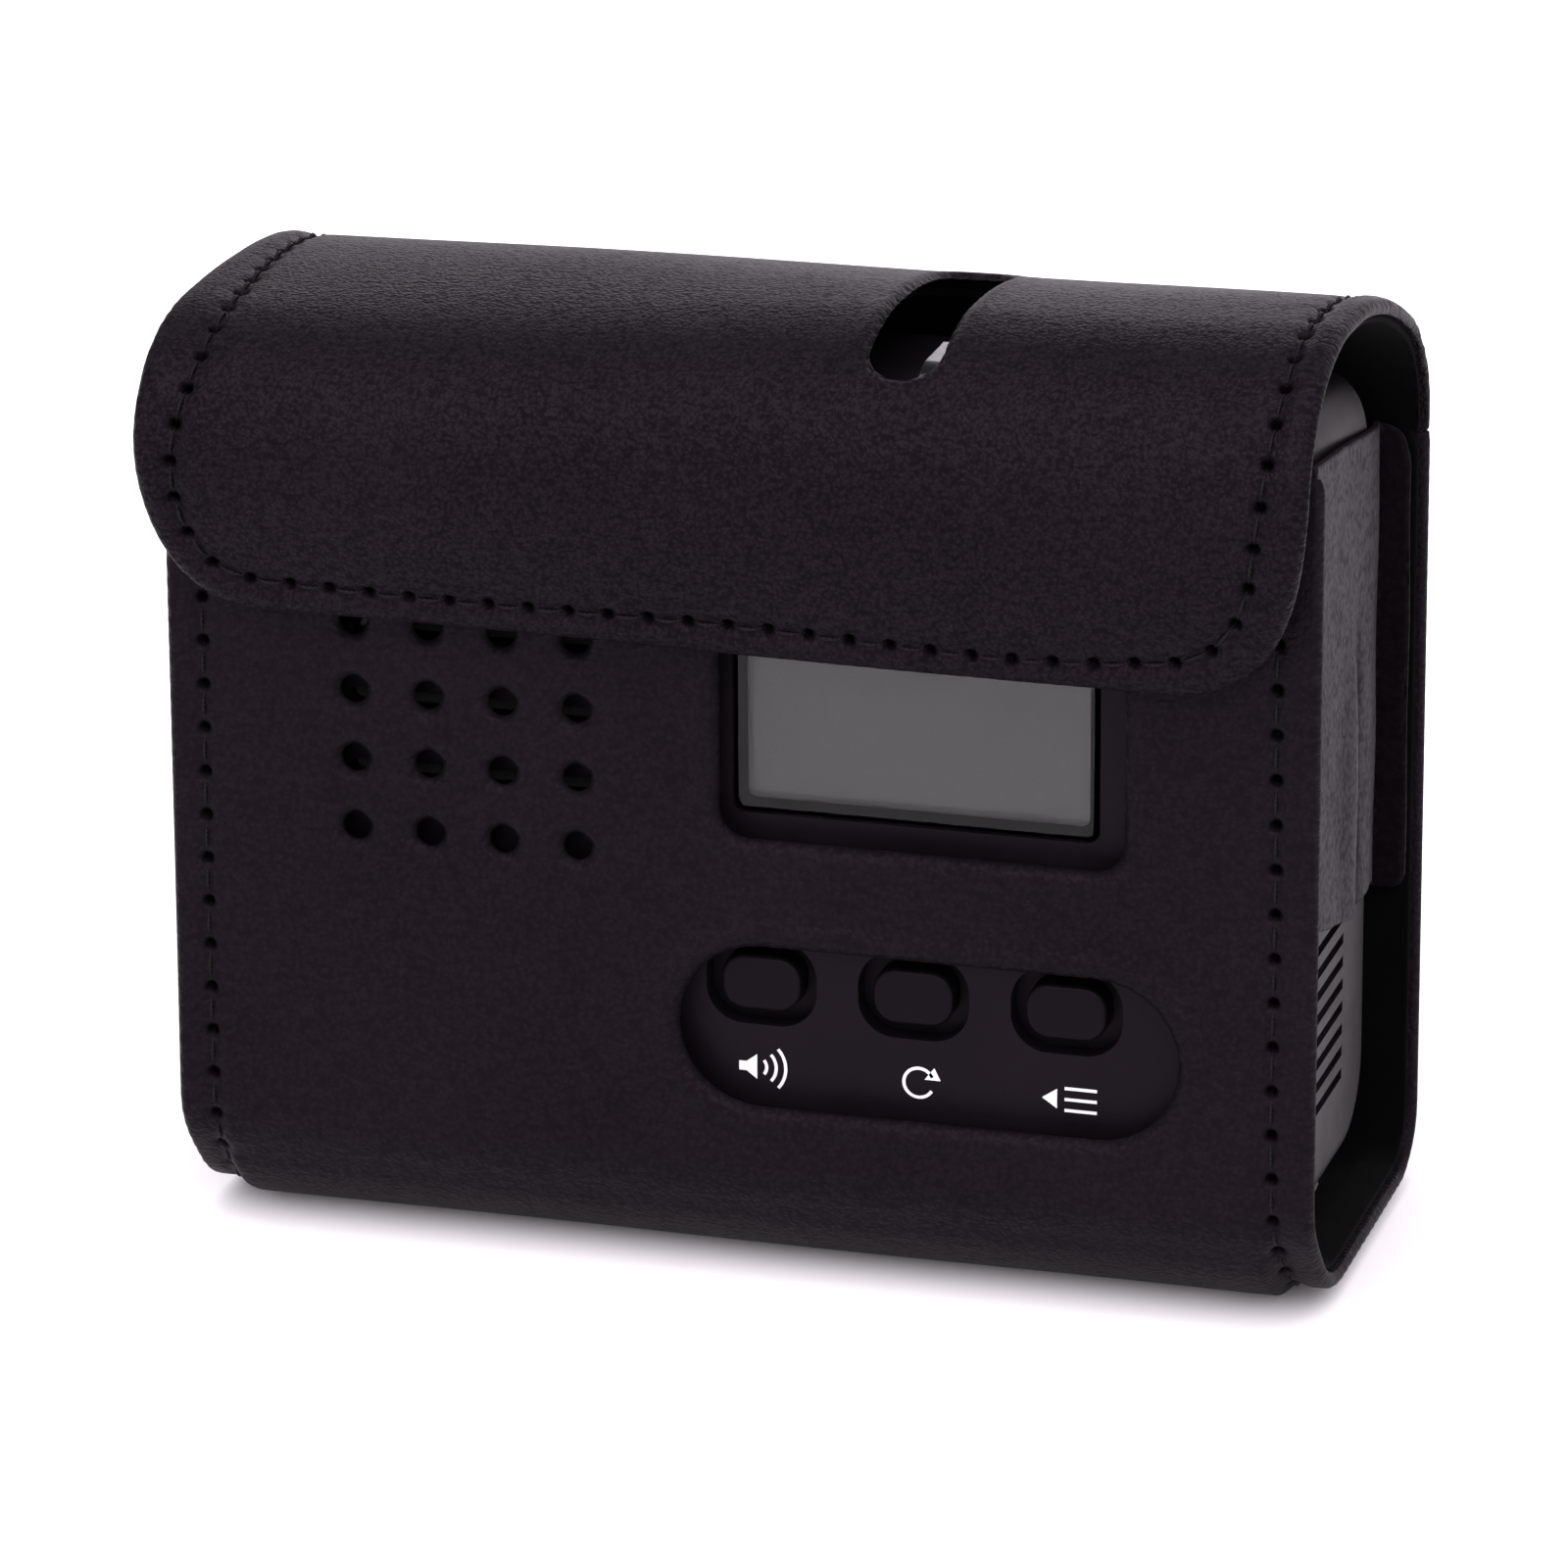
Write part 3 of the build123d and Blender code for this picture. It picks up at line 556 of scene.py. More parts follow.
for node, material in {
    "front_housing": UNIT_PLASTIC, "rear_housing": UNIT_PLASTIC, "battery_door": UNIT_PLASTIC,
    "battery_cells": CELL, "battery_contacts": STEEL, "housing_screws": STEEL, "board_screws": STEEL,
    "display_window": WINDOW, "display_glass": LCD, "display_frame": FRAME_PLASTIC,
    "display_contact_strips": RUBBER, "main_board": BOARD, "speaker": PRESSED, "speaker_felt": FELT,
    "microphone": PRESSED, "key_switches": PRESSED, "alert_lens": LENS, "alert_lamp": LAMP,
    "volume_key": KEY_PLASTIC, "reset_key": KEY_PLASTIC, "review_key": KEY_PLASTIC,
}.items():
    dress(node, material)


# ---- the case ------------------------------------------------------------------
PANEL_TOP = 81.0
SHELL_TOP = 73.0        # the back panel ends here, and the flap is sewn on
FOLD_FRONT = 14.0       # radius of the bottom front fold
FOLD_BACK = 7.0         # and of the bottom back fold
HALF = 53.25            # half the case's width
SUEDE_TRIM = 0.6        # the suede ends this far inside the leatherette's edge
KEY_CUT = (47.2, 16.1)
KEY_CUT_AT = (17.8, 25.3)
DISPLAY_CUT = (38.1, 23.1)
DISPLAY_CUT_AT = (17.15, 54.45)
SPEAKER_HOLE = 3.3
SPEAKER_PITCH = (7.0, 6.53)
SPEAKER_AT = (-25.4, 50.8)
CASE_STITCH = 4.2
HINGE_STITCH = 3.6
FLAP_STITCH = 3.72

case_line = Line(np.vstack([
    [[FRONT, PANEL_TOP], [FRONT, FOLD_FRONT + 0.01]],
    arc((FRONT + FOLD_FRONT, FOLD_FRONT), FOLD_FRONT, 180, 270, 60),
    arc((BACK - FOLD_BACK, FOLD_BACK), FOLD_BACK, 270, 360, 40),
    [[BACK, SHELL_TOP]],
]))
FOLD_START = PANEL_TOP - FOLD_FRONT
FOLD_END = case_line.length - (SHELL_TOP - FOLD_BACK)


def over(line_at, places, height):
    """Points at a height over a bent sheet, whose side view at each place is line_at(x, v)."""
    x, v = places[:, 0], places[:, 1]
    here = line_at(x, v)
    along = line_at(x, v + 0.35) - line_at(x, v - 0.35)
    along /= np.linalg.norm(along, axis=1)[:, None]
    return np.stack([x, here[:, 0] + along[:, 1] * height, here[:, 1] - along[:, 0] * height], -1)


def run_on(line, v):
    """A line's point, going straight on past both ends."""
    inner = line.at(np.clip(v, 0, line.length))
    before = (line.at(0.5) - line.at(0.0)) / 0.5
    after = (line.at(line.length) - line.at(line.length - 0.5)) / 0.5
    return inner + np.minimum(v, 0)[:, None] * before + np.maximum(v - line.length, 0)[:, None] * after


def case_form(places):
    """Broad shape over the plain line: a padded middle, and margins that sink under the bottom."""
    x, v = places[:, 0], places[:, 1]
    under = ramp(v, FOLD_START + 1, FOLD_START + 10) * (1 - ramp(v, FOLD_END - 8, FOLD_END + 1))
    margin = ramp(np.abs(x + 0.3), 48.6, 50.6)
    sink = 1.25 * under * margin
    crease = 0.22 * bump(v - (PANEL_TOP - 7.0), 1.1) * (1 - margin)
    sag = 0.25 * np.sin(np.pi * np.clip((v - 4) / 62, 0, 1)) * (1 - ramp(np.abs(x), 36, 49))
    wave = 0.10 * np.sin(x * 0.11 + 0.8) * np.sin(v * 0.09 + 1.0)
    return -sink - crease + wave * 0.6 - 0.12 * sag


def case_surface(places, height):
    return over(lambda x, v: run_on(case_line, v), places, height + case_form(places))


def panel_holes(grow):
    """The cuts in the front panel, on the unrolled sheet."""
    def cut(size, corner, x, z):
        return rounded(size[0] + 2 * grow, size[1] + 2 * grow, corner + grow, x, PANEL_TOP - z)
    cuts = [cut(KEY_CUT, 8.04, *KEY_CUT_AT), cut(DISPLAY_CUT, 3.0, *DISPLAY_CUT_AT)]
    for column in range(4):
        for row in range(4):
            x = SPEAKER_AT[0] + (column - 1.5) * SPEAKER_PITCH[0]
            z = SPEAKER_AT[1] + (row - 1.5) * SPEAKER_PITCH[1]
            cuts.append(cut((SPEAKER_HOLE, SPEAKER_HOLE), 1.649, x, z))
    return cuts


def sheet_outline(half, low, high, radius):
    """Cut of a strip with the case's middle line as its own."""
    return rounded(2 * half, high - low, radius, 0, (low + high) / 2)


def side_seam(side):
    """The seam down one side of the front, under the bottom and up the back."""
    x = 49.75 if side > 0 else -50.25
    points = [(x + side * 0.35, 2.5), (x, 12), (x, 40), (x - side * 0.1, 62), (x + 0.2, FOLD_START + 8),
              (x + 0.1, FOLD_END - 4), (x, FOLD_END + 20), (x, case_line.length - 2.5)]
    return Line(spline(points))


case_seams = {side: side_seam(side) for side in (-1, 1)}
case_stitch_holes = {side: seam.marks(CASE_STITCH) for side, seam in case_seams.items()}
hinge_seam = Line([(-49.0, case_line.length - 2.6), (49.0, case_line.length - 2.6)])
hinge_holes = hinge_seam.marks(HINGE_STITCH)


def seam_relief(places, lines, holes, groove, pit, width=0.75):
    """How a seam draws the leather in along its line, and more at each hole."""
    line = near(np.vstack([seam.marks(0.3) for seam in lines]))(places)
    hole = near(np.vstack(holes))(places)
    return -groove * bump(line, width) - pit * (1 - ramp(hole, 0.26, 0.66)) - 0.14 * bump(hole, 1.1)


def paint_shade(obj, value):
    """Paints shade on a piece's leatherette, darker by a value of 0 to 1 at each point of its outer face."""
    data = obj.data.attributes.new("painted_shade", "FLOAT", "POINT")
    filled = np.zeros(len(obj.data.vertices), np.float32)
    filled[:len(value)] = value
    data.data.foreach_set("value", filled)


def in_holes(places, holes):
    """1 in the stitch holes, and 0 outside them."""
    return 1 - ramp(near(holes)(places), 0.36, 0.7)


def edge_round(distance, radius):
    """How far an edge of a radius falls away, from the distance to it."""
    inner = np.clip(radius - distance, 0, radius)
    return -(radius - np.sqrt(np.maximum(radius ** 2 - inner ** 2, 0)))


def side_distance(places):
    """Distance to the nearer side edge, for where two sheets meet end to end."""
    return np.maximum(HALF - np.abs(places[:, 0]), 0.0)


def suede_sheet(name, outline, holes, surface):
    """Lining under a sheet of leatherette."""
    verts, faces, _ = net(outline, holes, 2.2, 1.1, NO_DETAIL, rings=(0.4,), hole_step=0.6)
    outer, inner = (np.full(len(verts), -LEATHER - depth) for depth in (0.01, LINING))
    return layer(name, verts, faces, surface, outer, inner, SUEDE, rim=2, swell=0.1)


def build_case():
    """Front, bottom and back in one sheet of leatherette, with its seams and its suede lining."""
    outline = sheet_outline(HALF, 0, case_line.length, 0.15)
    holes = panel_holes(0)
    seams = list(case_seams.values()) + [hinge_seam]
    marks = list(case_stitch_holes.values()) + [hinge_holes]
    detail = np.vstack([seam.marks(0.8) for seam in seams])
    verts, faces, edge = net(outline, holes, 1.5, 0.62, detail, pits=np.vstack(marks))
    big = near(np.vstack([closed(h, 0.2) for h in holes[:2]]))(verts)
    small = near(np.vstack([closed(h, 0.2) for h in holes[2:]]))(verts)
    joined = verts[:, 1] > case_line.length - 0.8
    outer = edge_round(np.where(joined, side_distance(verts), edge(verts)), 0.45)
    outer += 0.22 * bump(big - 1.1, 0.8) - 0.10 * bump(big - 2.7, 0.6)
    outer += -0.10 * bump(small, 0.8)
    outer += seam_relief(verts, seams, marks, 0.2, 0.75)
    outer += 0.12 * ramp(np.abs(verts[:, 0]), 50.8, 51.6)
    inner = np.full(len(verts), -LEATHER + 0.02)
    shell = layer("case_shell", verts, faces, case_surface, outer, inner, PANEL_LEATHER)
    # painted shade in the case's stitch holes
    paint_shade(shell, in_holes(verts, np.vstack(marks)))
    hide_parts("case_wrap")
    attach(shell, "case")
    for side, name in ((-1, "left"), (1, "right")):
        seam = stitches(f"case_stitches_{name}", case_stitch_holes[side], case_surface)
        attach(seam, "case")
    seam = stitches("hinge_stitches", hinge_holes, case_surface)
    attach(seam, "case")

    outline = sheet_outline(HALF - SUEDE_TRIM, SUEDE_TRIM, case_line.length, 1.6)
    lining = suede_sheet("case_suede", outline, panel_holes(0.3), case_surface)
    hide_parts("case_lining")
    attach(lining, "case")


build_case()

# ---- the flap ------------------------------------------------------------------
BACK_RISE = [(BACK, SHELL_TOP), (BACK, 75.4)]


def profile(stations):
    """Side view of the flap from the back panel over the top to its lower edge, from (depth, z) stations."""
    return Line(spline(BACK_RISE + [(FRONT + depth, z) for depth, z in stations]))


FLAP_LEFT = profile([
    (43.9, 77.5), (42.0, 81.3), (38.5, 84.4), (33.5, 86.6), (27, 87.9), (20, 88.3), (11, 88.1), (4.4, 87.5),
    (0.8, 86.5), (-1.5, 85.3), (-3.6, 83.6), (-5.1, 81.6), (-6.2, 79.0), (-6.5, 75.5), (-5.9, 71.0),
    (-4.9, 66.5), (-3.9, 62.3)])
FLAP_MIDDLE = profile([
    (43.7, 78.0), (41.4, 81.9), (37.6, 85.3), (32.5, 87.8), (26.5, 89.6), (20, 90.7), (13.5, 91.0),
    (7.0, 90.5), (1.9, 89.1), (-1.9, 87.0), (-4.6, 84.2), (-6.0, 80.8), (-6.4, 76.8), (-5.9, 72.0),
    (-4.8, 67.0), (-3.4, 61.8)])
FLAP_RIGHT = profile([
    (43.7, 78.3), (41.9, 81.3), (38.7, 84.6), (33.6, 87.5), (28.5, 89.5), (23.1, 91.1), (17.7, 92.4),
    (12.5, 93.0), (7.0, 93.1), (2.4, 92.0), (-1.4, 89.8), (-4.3, 86.7), (-6.0, 83.0), (-6.6, 79.0),
    (-6.3, 74.5), (-5.6, 69.5), (-4.5, 64.5), (-3.9, 61.6)])
FLAP_LENGTH = FLAP_MIDDLE.length


def flap_line(x, v):
    """Side view of the flap at x: it changes smoothly from the left end to the right."""
    t = v / FLAP_LENGTH
    ends = [run_on(line, t * line.length) for line in (FLAP_LEFT, FLAP_MIDDLE, FLAP_RIGHT)]
    # the ends are alike at the back panel
    s = np.clip(x / 53.5, -1.03, 1.03)[:, None] * ramp(v, 2.0, 12.0)[:, None]
    return ends[0] * s * (s - 1) / 2 + ends[1] * (1 - s * s) + ends[2] * s * (s + 1) / 2


def flap_run(depth=None, z=None):
    """Distance along the middle of the flap to a depth on its top, or to a height on its front."""
    p = FLAP_MIDDLE.points
    if depth is not None:
        top = p[:, 1] > 84.5
        order = np.argsort(p[top, 0])
        return float(np.interp(FRONT + depth, p[top, 0][order], FLAP_MIDDLE.run[top][order]))
    front = p[:, 0] < FRONT - 4.0
    front |= (p[:, 0] < FRONT) & (p[:, 1] < 84)
    order = np.argsort(p[front, 1])
    return float(np.interp(z, p[front, 1][order], FLAP_MIDDLE.run[front][order]))


def flap_outline(trim=0.0):
    """The flap's cut on the unrolled sheet, less a trim at its edges."""
    def corner(points, side):
        line = np.array([(x, flap_run(z=z)) for x, z in points])
        return line - np.array([side * trim, trim])
    right = corner(bezier((53.4, 80), (53.0, 70.5), (50.0, 61.9), (41.0, 61.8)), 1)
    left = corner(bezier((-54.0, 79), (-53.9, 70), (-51.3, 61.7), (-42.5, 61.85)), -1)
    back = trim * 0.5
    return np.vstack([[(-53.4 + trim, back)], [(0.0, back)], [(53.3 - trim, back)],
                      [(53.4 - trim, flap_run(depth=20))], right, [(0.0, FLAP_LENGTH - trim)], left[::-1],
                      [(-53.9 + trim, flap_run(depth=2))], [(-53.5 + trim, flap_run(depth=25))]])


def slot_cut(grow):
    """The slot over the alert lens."""
    low, high = flap_run(depth=28), flap_run(depth=-1.2)
    return rounded(7.2 + 2 * grow, high - low + 2 * grow, 3.59 + grow, 15.6, (low + high) / 2)


def flap_seam():
    """The seam inside the flap's edge: over the left side, along the front and back over the right."""
    def at(x, z):
        return (x, flap_run(z=z))
    def over_top(x, depth):
        return (x, flap_run(depth=depth))
    left = [(-50.0, 5.0), over_top(-49.8, 34), over_top(-49.3, 18), over_top(-48.6, 4), at(-49.2, 85),
            at(-50.1, 80.8), at(-50.6, 75.2), at(-49.6, 69.8), at(-47.9, 66.8), at(-44.6, 65.2)]
    right = [at(38.0, 64.6), at(42.5, 65.2), at(45.7, 67.2), at(47.9, 71.0), at(48.9, 76.4), at(49.4, 80),
             over_top(50.1, -1.5), over_top(50.3, 8), over_top(50.2, 25), (50.0, 5.0)]
    return Line(spline(left + [at(-38, 64.8), at(0, 64.7)] + right))


seam_of_flap = flap_seam()
flap_holes = seam_of_flap.marks(FLAP_STITCH)


def flap_form(places):
    """Broad waves in the flap, and the pull of its closure."""
    x, v = places[:, 0], places[:, 1]
    front = ramp(v, flap_run(z=86), flap_run(z=78))
    wave = 0.22 * np.sin(x * 0.085 + 0.4) * np.sin(v * 0.16) * ramp(v, 12, 26)
    pull = -0.25 * front * bump(x + 20, 26)
    return wave + pull * 0.4


def flap_surface(places, height):
    return over(flap_line, places, height + flap_form(places))


def build_flap():
    """The flap's leatherette, seam and suede."""
    slot = slot_cut(0)
    detail = seam_of_flap.marks(0.7)
    verts, faces, edge = net(flap_outline(), [slot], 1.4, 0.6, detail, pits=flap_holes)
    d = edge(verts)
    around = near(closed(slot, 0.2))(verts)
    hem = ramp(verts[:, 1], 3, 10)
    joined = verts[:, 1] < 0.8
    outer = edge_round(np.where(joined, side_distance(verts), d), 0.6)
    outer += 0.14 * bump(around - 1.0, 0.7)
    outer += 0.22 * bump(d - 1.6, 0.9) * hem * (around > 3)
    outer += seam_relief(verts, [seam_of_flap], [flap_holes], 0.26, 0.8, 0.85) * hem
    # the leather puckers between the holes, beside the seam
    seam_at = near(seam_of_flap.marks(0.3))(verts)
    spans = len(flap_holes) - 1
    between = near(seam_of_flap.at(seam_of_flap.length * (np.arange(spans) + 0.5) / spans))(verts)
    outer += 0.10 * bump(between, 1.0) * ramp(seam_at, 0.6, 1.3)
    # and it is pared thin round the slot
    inner = -LEATHER + 0.02 + 0.75 * (1 - ramp(around, 0.3, 1.6))
    shell = layer("flap_shell", verts, faces, flap_surface, outer, inner, FLAP_LEATHER, swell=0.25)
    # painted shade in the flap's stitch holes
    paint_shade(shell, in_holes(verts, flap_holes))
    seam = stitches("flap_stitches", flap_holes, flap_surface)
    suede = suede_sheet("flap_suede", flap_outline(SUEDE_TRIM), [slot_cut(1.8)], flap_surface)
    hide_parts("flap")
    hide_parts("flap_lining")
    for obj, slot_name in ((shell, "leatherette"), (seam, "leatherette"), (suede, "suede")):
        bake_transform(obj)


build_flap()

# ---- side gussets ----------------------------------------------------------------
GUSSET_THICK = 0.6
GUSSET_START = 2.3      # depth of its front edge
GUSSET_TURN = 41.1      # depth of its fold
GUSSET_PLAN = ((2.3, 20, 34.5, 36.5, 38.4, 41.2), (52.2, 51.4, 50.4, 50.15, 49.6, 48.9))
GUSSET_CUT = [
    (2.3, -0.9), (6, -0.9), (14, -0.9), (24, -0.85), (31, -0.7), (36, -0.6), (39.0, -0.6), (41.0, -0.4),
    (43.4, 0.3), (44.2, 1.2), (44.8, 3.4), (44.9, 30), (44.9, 43.4), (44.5, 44.6), (41.6, 44.8), (40.6, 44.0),
    (39.0, 43.4), (33, 43.2), (25.2, 43.9), (24.2, 44.4), (22.5, 44.2), (12, 43.6), (2.3, 42.4)]


def gusset_web(side):
    """The side strip with its pleat, over a flat cut of (depth, drop from the top edge)."""
    def place(places, height):
        depth, drop = places[:, 0], places[:, 1]
        back = np.clip((depth - GUSSET_START) / 38.8, 0, 1)
        x = np.interp(depth, *GUSSET_PLAN)
        z = 80.9 - 6.9 * back - drop
        low = ramp(z, 66, 50)
        fold = 0.7 * bump(depth - 20.5, 3.6) - 0.75 * bump(depth - 24.9, 1.3) + 0.3 * bump(depth - 30.5, 3.5)
        upper = -0.2 * bump(depth - 17, 9) * ramp(z, 52, 66)
        hem = 0.1 * bump(depth - 38.6, 1.3) * ramp(drop, 30, 8)
        x = x + low * fold + upper + hem + 0.08 * np.sin(z * 0.31) * np.sin(depth * 0.4)
        return np.stack([side * (x + height), FRONT + depth, z], -1)
    return place


def gusset_surface(side):
    """The web, then a fold, and the flange that is glued to the back panel."""
    web = gusset_web(side)

    def place(places, height):
        points = web(np.minimum(places, [GUSSET_TURN, 1e9]), height)
        past = np.maximum(places[:, 0] - GUSSET_TURN, 0)
        bend = np.clip(past / 0.9, 0, 1)
        points[:, 1] += 0.35 * np.sin(bend * math.pi / 2) - height * bend
        points[:, 0] += side * (np.maximum(past - 0.35, 0) - height * bend)
        return points
    return place


def build_gusset(side, name):
    """Strip that closes a side of the case halfway, with a flange on the back panel."""
    crease = np.array([(24.4, y) for y in np.arange(14, 44, 0.8)])
    verts, faces, edge = net(np.array(GUSSET_CUT), [], 1.1, 0.55, crease, rings=(0.25, 0.5))
    outer = edge_round(edge(verts), 0.3) + GUSSET_THICK / 2
    inner = np.full(len(verts), -GUSSET_THICK / 2)
    if side > 0:
        faces = faces[:, ::-1]
    web = layer(f"gusset_web_{name}", verts, faces, gusset_surface(side), outer, inner, GUSSET_LEATHER,
                rim=3, swell=0.12)
    # painted shade: the flange behind the fold is made darker, as it lies in shadow against the back panel
    paint_shade(web, 0.72 * ramp(verts[:, 0], 41.2, 42.0))
    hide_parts(f"gusset_{name}")
    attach(web, "case")


build_gusset(-1, "left")
build_gusset(1, "right")


# ---- belt loop -------------------------------------------------------------------
BELT_HALF = 19.0
BELT_LINE = [           # how far out from the back panel, and how high
    (0.1, 14.0), (0.1, 18.0), (0.2, 20.6), (1.6, 23.2), (3.6, 25.6), (4.4, 28.2), (4.4, 34), (4.4, 46),
    (4.4, 51.8), (3.6, 54.4), (1.6, 56.8), (0.2, 59.4), (0.1, 62.0), (0.1, 66.0)]


def build_belt_loop():
    """Strap over the back, folded double, its ends sewn down with a box stitch."""
    line = Line(spline([(BACK + out, z) for out, z in BELT_LINE]))

    def surface(places, height):
        along = np.sin(np.pi * np.clip(places[:, 1] / line.length, 0, 1)) ** 4
        bow = 0.35 * along * (1 - (places[:, 0] / BELT_HALF) ** 2)
        return over(lambda x, v: run_on(line, v), places, height + bow)

    outline = rounded(2 * BELT_HALF, line.length, 3.0, 0, line.length / 2)
    x = BELT_HALF - 2.4
    seams = [Line([(-x, low), (x, low), (x, high), (-x, high), (-x, low)])
             for low, high in ((1.8, 6.6), (line.length - 6.6, line.length - 1.8))]
    seams += [Line([(s * x, 7.6), (s * x, line.length - 7.6)]) for s in (-1, 1)]
    marks = [seam.marks(3.0) for seam in seams]
    verts, faces, edge = net(outline, [], 1.5, 0.6, np.vstack([s.marks(0.8) for s in seams]))
    outer = edge_round(edge(verts), 0.7) + seam_relief(verts, seams, marks, 0.22, 0.4, 0.7) + 1.9
    outer += 0.2 * (1 - bump(edge(verts), 2.6))
    strap = layer("belt_strap", verts, faces, surface, outer, np.zeros(len(verts)), PANEL_LEATHER, swell=0.4)
    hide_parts("belt_loop")
    pieces = [strap]
    for name, holes in zip(("low", "high", "left", "right"), marks):
        pieces.append(stitches(f"belt_stitches_{name}", holes, lambda p, h: surface(p, h + 2.05)))
    for piece in pieces:
        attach(piece, "case")


build_belt_loop()


# ---- closure ---------------------------------------------------------------------
PATCH_Z = 71.3
PATCH_PITCH = 0.95


def patch_of(name, node, body, y0, y1, hooks):
    """A half of the hook-and-loop closure: woven base, with a field of hooks or of looped pile."""
    random = np.random.default_rng(5)
    verts, faces, edge = net(rounded(27.6, 6.6, 1.4, 0, PATCH_Z), [], 1.0, 0.6, NO_DETAIL, rings=(0.3,))
    d = edge(verts)
    base = 0.35

    def surface(places, height):
        return np.stack([places[:, 0], y0 + (y1 - y0) * height, places[:, 1]], -1)

    if y1 > y0:
        faces = faces[:, ::-1]
    rough = 0.12 * random.random(len(verts)) * ramp(d, 0.2, 0.8)
    high = base + rough - 0.2 * (1 - ramp(d, 0.0, 0.5))
    pad = layer(name, verts, faces, surface, high, np.zeros(len(verts)), FUZZ, rim=2, swell=0.05)
    lines = []
    for x in np.arange(-12.6, 12.7, PATCH_PITCH):
        for z in np.arange(PATCH_Z - 2.4, PATCH_Z + 2.5, PATCH_PITCH):
            jx, jz = random.normal(0, 0.1, 2)
            t = np.linspace(0, 1, 6)
            tall = 0.62 + 0.1 * random.random()
            if hooks:
                lean = np.stack([x + jx + 0.32 * t ** 3, np.full_like(t, z + jz)], -1)
                high = base + tall * np.sin(t * 2.2) / np.sin(1.57)
            else:
                turn = random.random() * math.pi
                reach = 0.42 * (t - 0.5)
                lean = np.stack([x + jx + reach * math.cos(turn), z + jz + reach * math.sin(turn)], -1)
                high = base * 0.8 + tall * np.sin(t * math.pi)
            lines.append(surface(lean, high))
    pile = tubes(name + "_pile", lines, 0.09, FUZZ, sides=4)
    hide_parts(node)
    for piece in (pad, pile):
        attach(piece, body)


patch_of("loop_patch", "closure_loop_patch", "case", FRONT + 0.12, FRONT - 0.78, hooks=False)
patch_of("hook_patch", "closure_hook_patch", "flap", FRONT - 4.15, FRONT - 2.6, hooks=True)


# ---- base pad --------------------------------------------------------------------
def build_base_pad():
    """Felt pad that the unit stands on, crowned between its rounded edges."""
    low, high = (np.array(corner) * 1000 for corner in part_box("base_pad"))
    width, length, _ = high - low
    x, y, _ = (low + high) / 2
    outline = rounded(width - 0.6, length - 0.6, 4.0, x, y)
    verts, faces, edge = net(outline, [], 2.0, 0.9, NO_DETAIL, rings=(0.4, 0.9, 1.5))
    d = edge(verts)
    drop = edge_round(d, 1.5)

    def surface(places, height):
        return np.stack([places[:, 0], places[:, 1], height], -1)

    crown = high[2] - 0.25 + 0.22 * ramp(d, 0, 9) + drop
    under = np.full(len(verts), low[2] + 0.02) - drop * 0.3
    pad = layer("felt_pad", verts, faces[:, ::-1], surface, crown, under, FELT, rim=5, swell=0.3)
    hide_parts("base_pad")
    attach(pad, "case")


build_base_pad()


# ---- printed signs under the keys ------------------------------------------------
PRINT_WIDTH = 0.3
PRINT_Y = FRONT + 3.6 - 0.03        # just proud of the unit's face
SIGN_Z = 20.3


def ink():
    """Pale printing ink."""
    p = Paint("ink", (0.62, 0.62, 0.66), 0.5, Specular_IOR_Level=0.3)
    p.relief(p.noise(p.place(), 4.0), 0.004)
    return p.material


INK = ink()


def strip(points):
    """A printed line, as quads along its points."""
    p = np.array(points, float)
    along = np.gradient(p, axis=0)
    along /= np.linalg.norm(along, axis=1)[:, None]
    side = np.stack([-along[:, 1], along[:, 0]], -1) * PRINT_WIDTH / 2
    n = len(p)
    return np.vstack([p + side, p - side]), [(i, i + 1, n + i + 1, n + i) for i in range(n - 1)]


def polygon(points):
    """A printed patch, as one face."""
    return np.array(points, float), [tuple(range(len(points)))]


def print_sign(name, shapes, x, z):
    """Flat print on the unit's face."""
    points, faces = [], []
    for verts, quads in shapes:
        first = len(points)
        points += [(x + a, PRINT_Y, z + b) for a, b in verts]
        faces += [tuple(first + i for i in q) for q in quads]
    obj = make_object(name, points, faces, INK, smooth=False)
    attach(obj, "case")


def build_signs():
    """A loudspeaker, a circular arrow and an arrow with a list, one under each key."""
    cone = polygon([(-2.6, -0.45), (-1.9, -0.45), (-0.9, -1.2), (-0.9, 1.2), (-1.9, 0.45), (-2.6, 0.45)])
    waves = [strip(arc((-1.0, 0), r, -42, 42, 14)) for r in (1.0, 1.9, 2.8)]
    print_sign("sign_level", [cone] + waves, 1.9, SIGN_Z)
    ring = strip(arc((0, 0), 1.4, 25, 330, 34))
    head = polygon([(0.55, 0.35), (2.05, 0.35), (1.45, 1.55)])
    print_sign("sign_start_again", [ring, head], 16.2, SIGN_Z)
    rows = [strip([(-0.6, y), (0.6, y), (2.4, y)]) for y in (-1.05, 0, 1.05)]
    back = polygon([(-1.3, -0.95), (-1.3, 0.95), (-2.7, 0)])
    print_sign("sign_look_back", rows + [back], 30.4, SIGN_Z - 0.2)


build_signs()

# ---- camera, floor and light -----------------------------------------------------
TARGET = Vector((4.69, -22.1, 49.0)) * MM
AZIMUTH = math.radians(16.27)
ELEVATION = math.radians(19.26)
ROLL = math.radians(-0.25)
DISTANCE = 0.8399               # metres from here on
LIGHT_TINT = (1.0, 0.94, 1.0)
PANEL_TINT = (1.0, 0.92, 1.0)


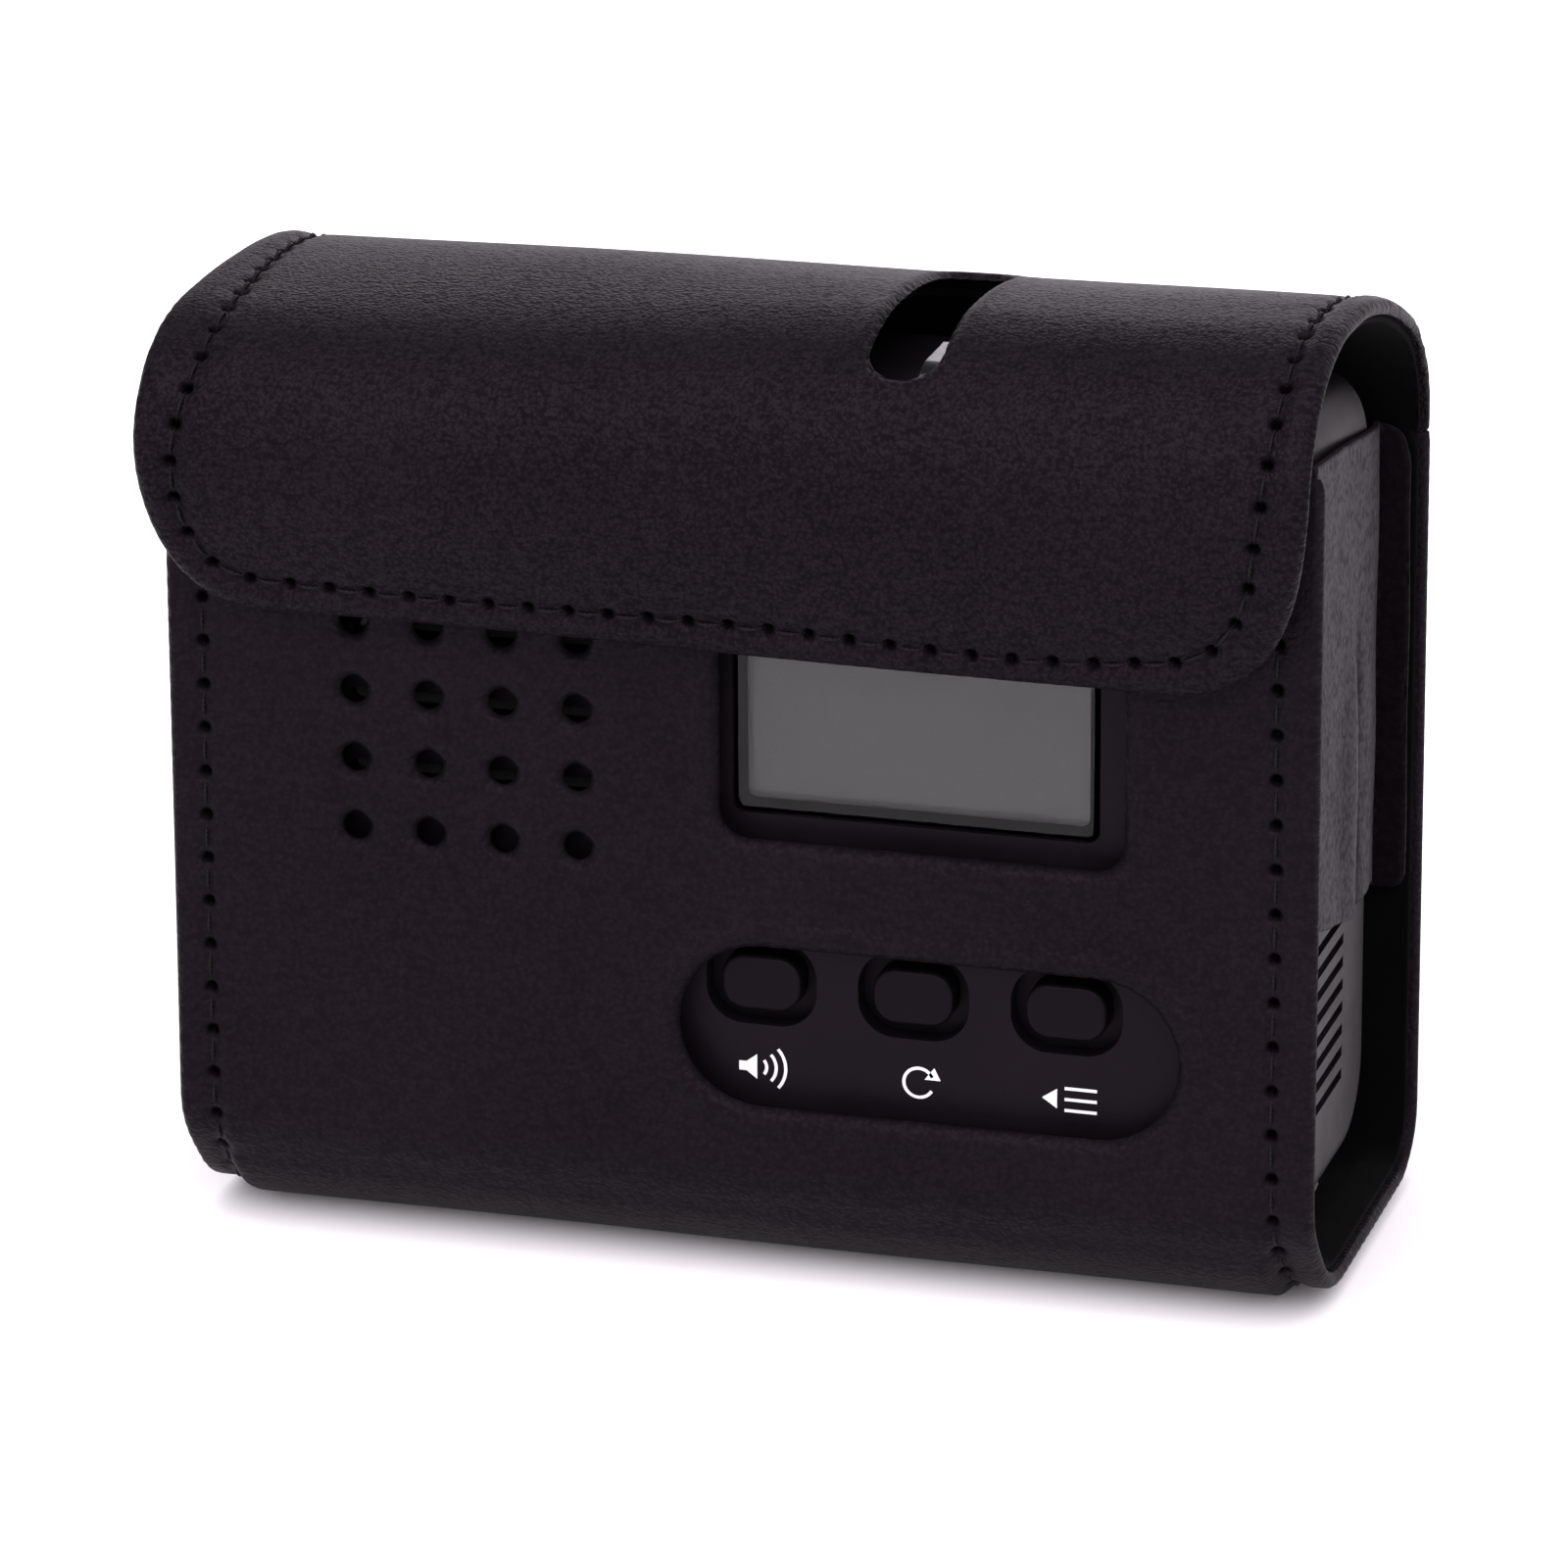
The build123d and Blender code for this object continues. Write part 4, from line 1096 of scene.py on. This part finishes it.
def make_camera():
    """Long lens, a little above the part and to its right."""
    data = bpy.data.cameras.new("camera")
    data.lens = 216
    data.sensor_width = 36
    data.clip_start = 0.05
    data.clip_end = 30
    camera = bpy.data.objects.new("camera", data)
    flat = math.cos(ELEVATION)
    back = Vector((math.sin(AZIMUTH) * flat, -math.cos(AZIMUTH) * flat, math.sin(ELEVATION)))
    right = Vector((math.cos(AZIMUTH), math.sin(AZIMUTH), 0))
    up = back.cross(right)
    turned = right * math.cos(ROLL) + up * math.sin(ROLL)
    risen = up * math.cos(ROLL) - right * math.sin(ROLL)
    camera.matrix_world = Matrix((
        (turned.x, risen.x, back.x, TARGET.x + back.x * DISTANCE),
        (turned.y, risen.y, back.y, TARGET.y + back.y * DISTANCE),
        (turned.z, risen.z, back.z, TARGET.z + back.z * DISTANCE),
        (0, 0, 0, 1)))
    bpy.context.scene.collection.objects.link(camera)
    bpy.context.scene.camera = camera


def make_floor():
    """Wide pale floor."""
    mesh = bpy.data.meshes.new("floor")
    mesh.from_pydata([(-6, -6, 0), (6, -6, 0), (6, 6, 0), (-6, 6, 0)], [], [(0, 1, 2, 3)])
    floor = bpy.data.objects.new("floor", mesh)
    floor.location.z = -0.0002
    bpy.context.scene.collection.objects.link(floor)
    p = Paint("floor", (0.86, 0.86, 0.86), 0.9, Specular_IOR_Level=0.1)
    p.relief(p.noise(p.place(), 0.4), 0.01)
    mesh.materials.append(p.material)


def area_light(name, place, aim, size, power):
    """A soft rectangular lamp that points at a place."""
    data = bpy.data.lights.new(name, "AREA")
    data.shape = "RECTANGLE"
    data.size, data.size_y = size
    data.energy = power
    data.color = PANEL_TINT
    light = bpy.data.objects.new(name, data)
    light.location = place
    light.rotation_euler = (Vector(aim) - Vector(place)).to_track_quat("-Z", "Y").to_euler()
    bpy.context.scene.collection.objects.link(light)


def make_light():
    """Even studio light from above, a small panel at the right and a wide one behind."""
    world = bpy.data.worlds.new("studio")
    bpy.context.scene.world = world
    world.use_nodes = True
    backdrop = world.node_tree.nodes["Background"]
    backdrop.inputs["Color"].default_value = (*LIGHT_TINT, 1.0)
    backdrop.inputs["Strength"].default_value = 0.42
    data = bpy.data.lights.new("sky_panel", "SUN")
    data.energy = 6.0
    data.angle = math.radians(100)
    data.color = LIGHT_TINT
    sun = bpy.data.objects.new("sky_panel", data)
    sun.rotation_euler = (math.radians(34), math.radians(4), 0)
    bpy.context.scene.collection.objects.link(sun)
    area_light("right", (0.85, -0.15, 0.35), (0.03, 0, 0.05), (0.4, 0.5), 0.35)
    area_light("behind", (0.1, 1.3, 0.42), (0, 0, 0.09), (1.6, 0.5), 5.0)
    bpy.context.scene.view_settings.view_transform = "Standard"
    bpy.context.scene.view_settings.look = "None"


make_camera()
make_floor()
make_light()
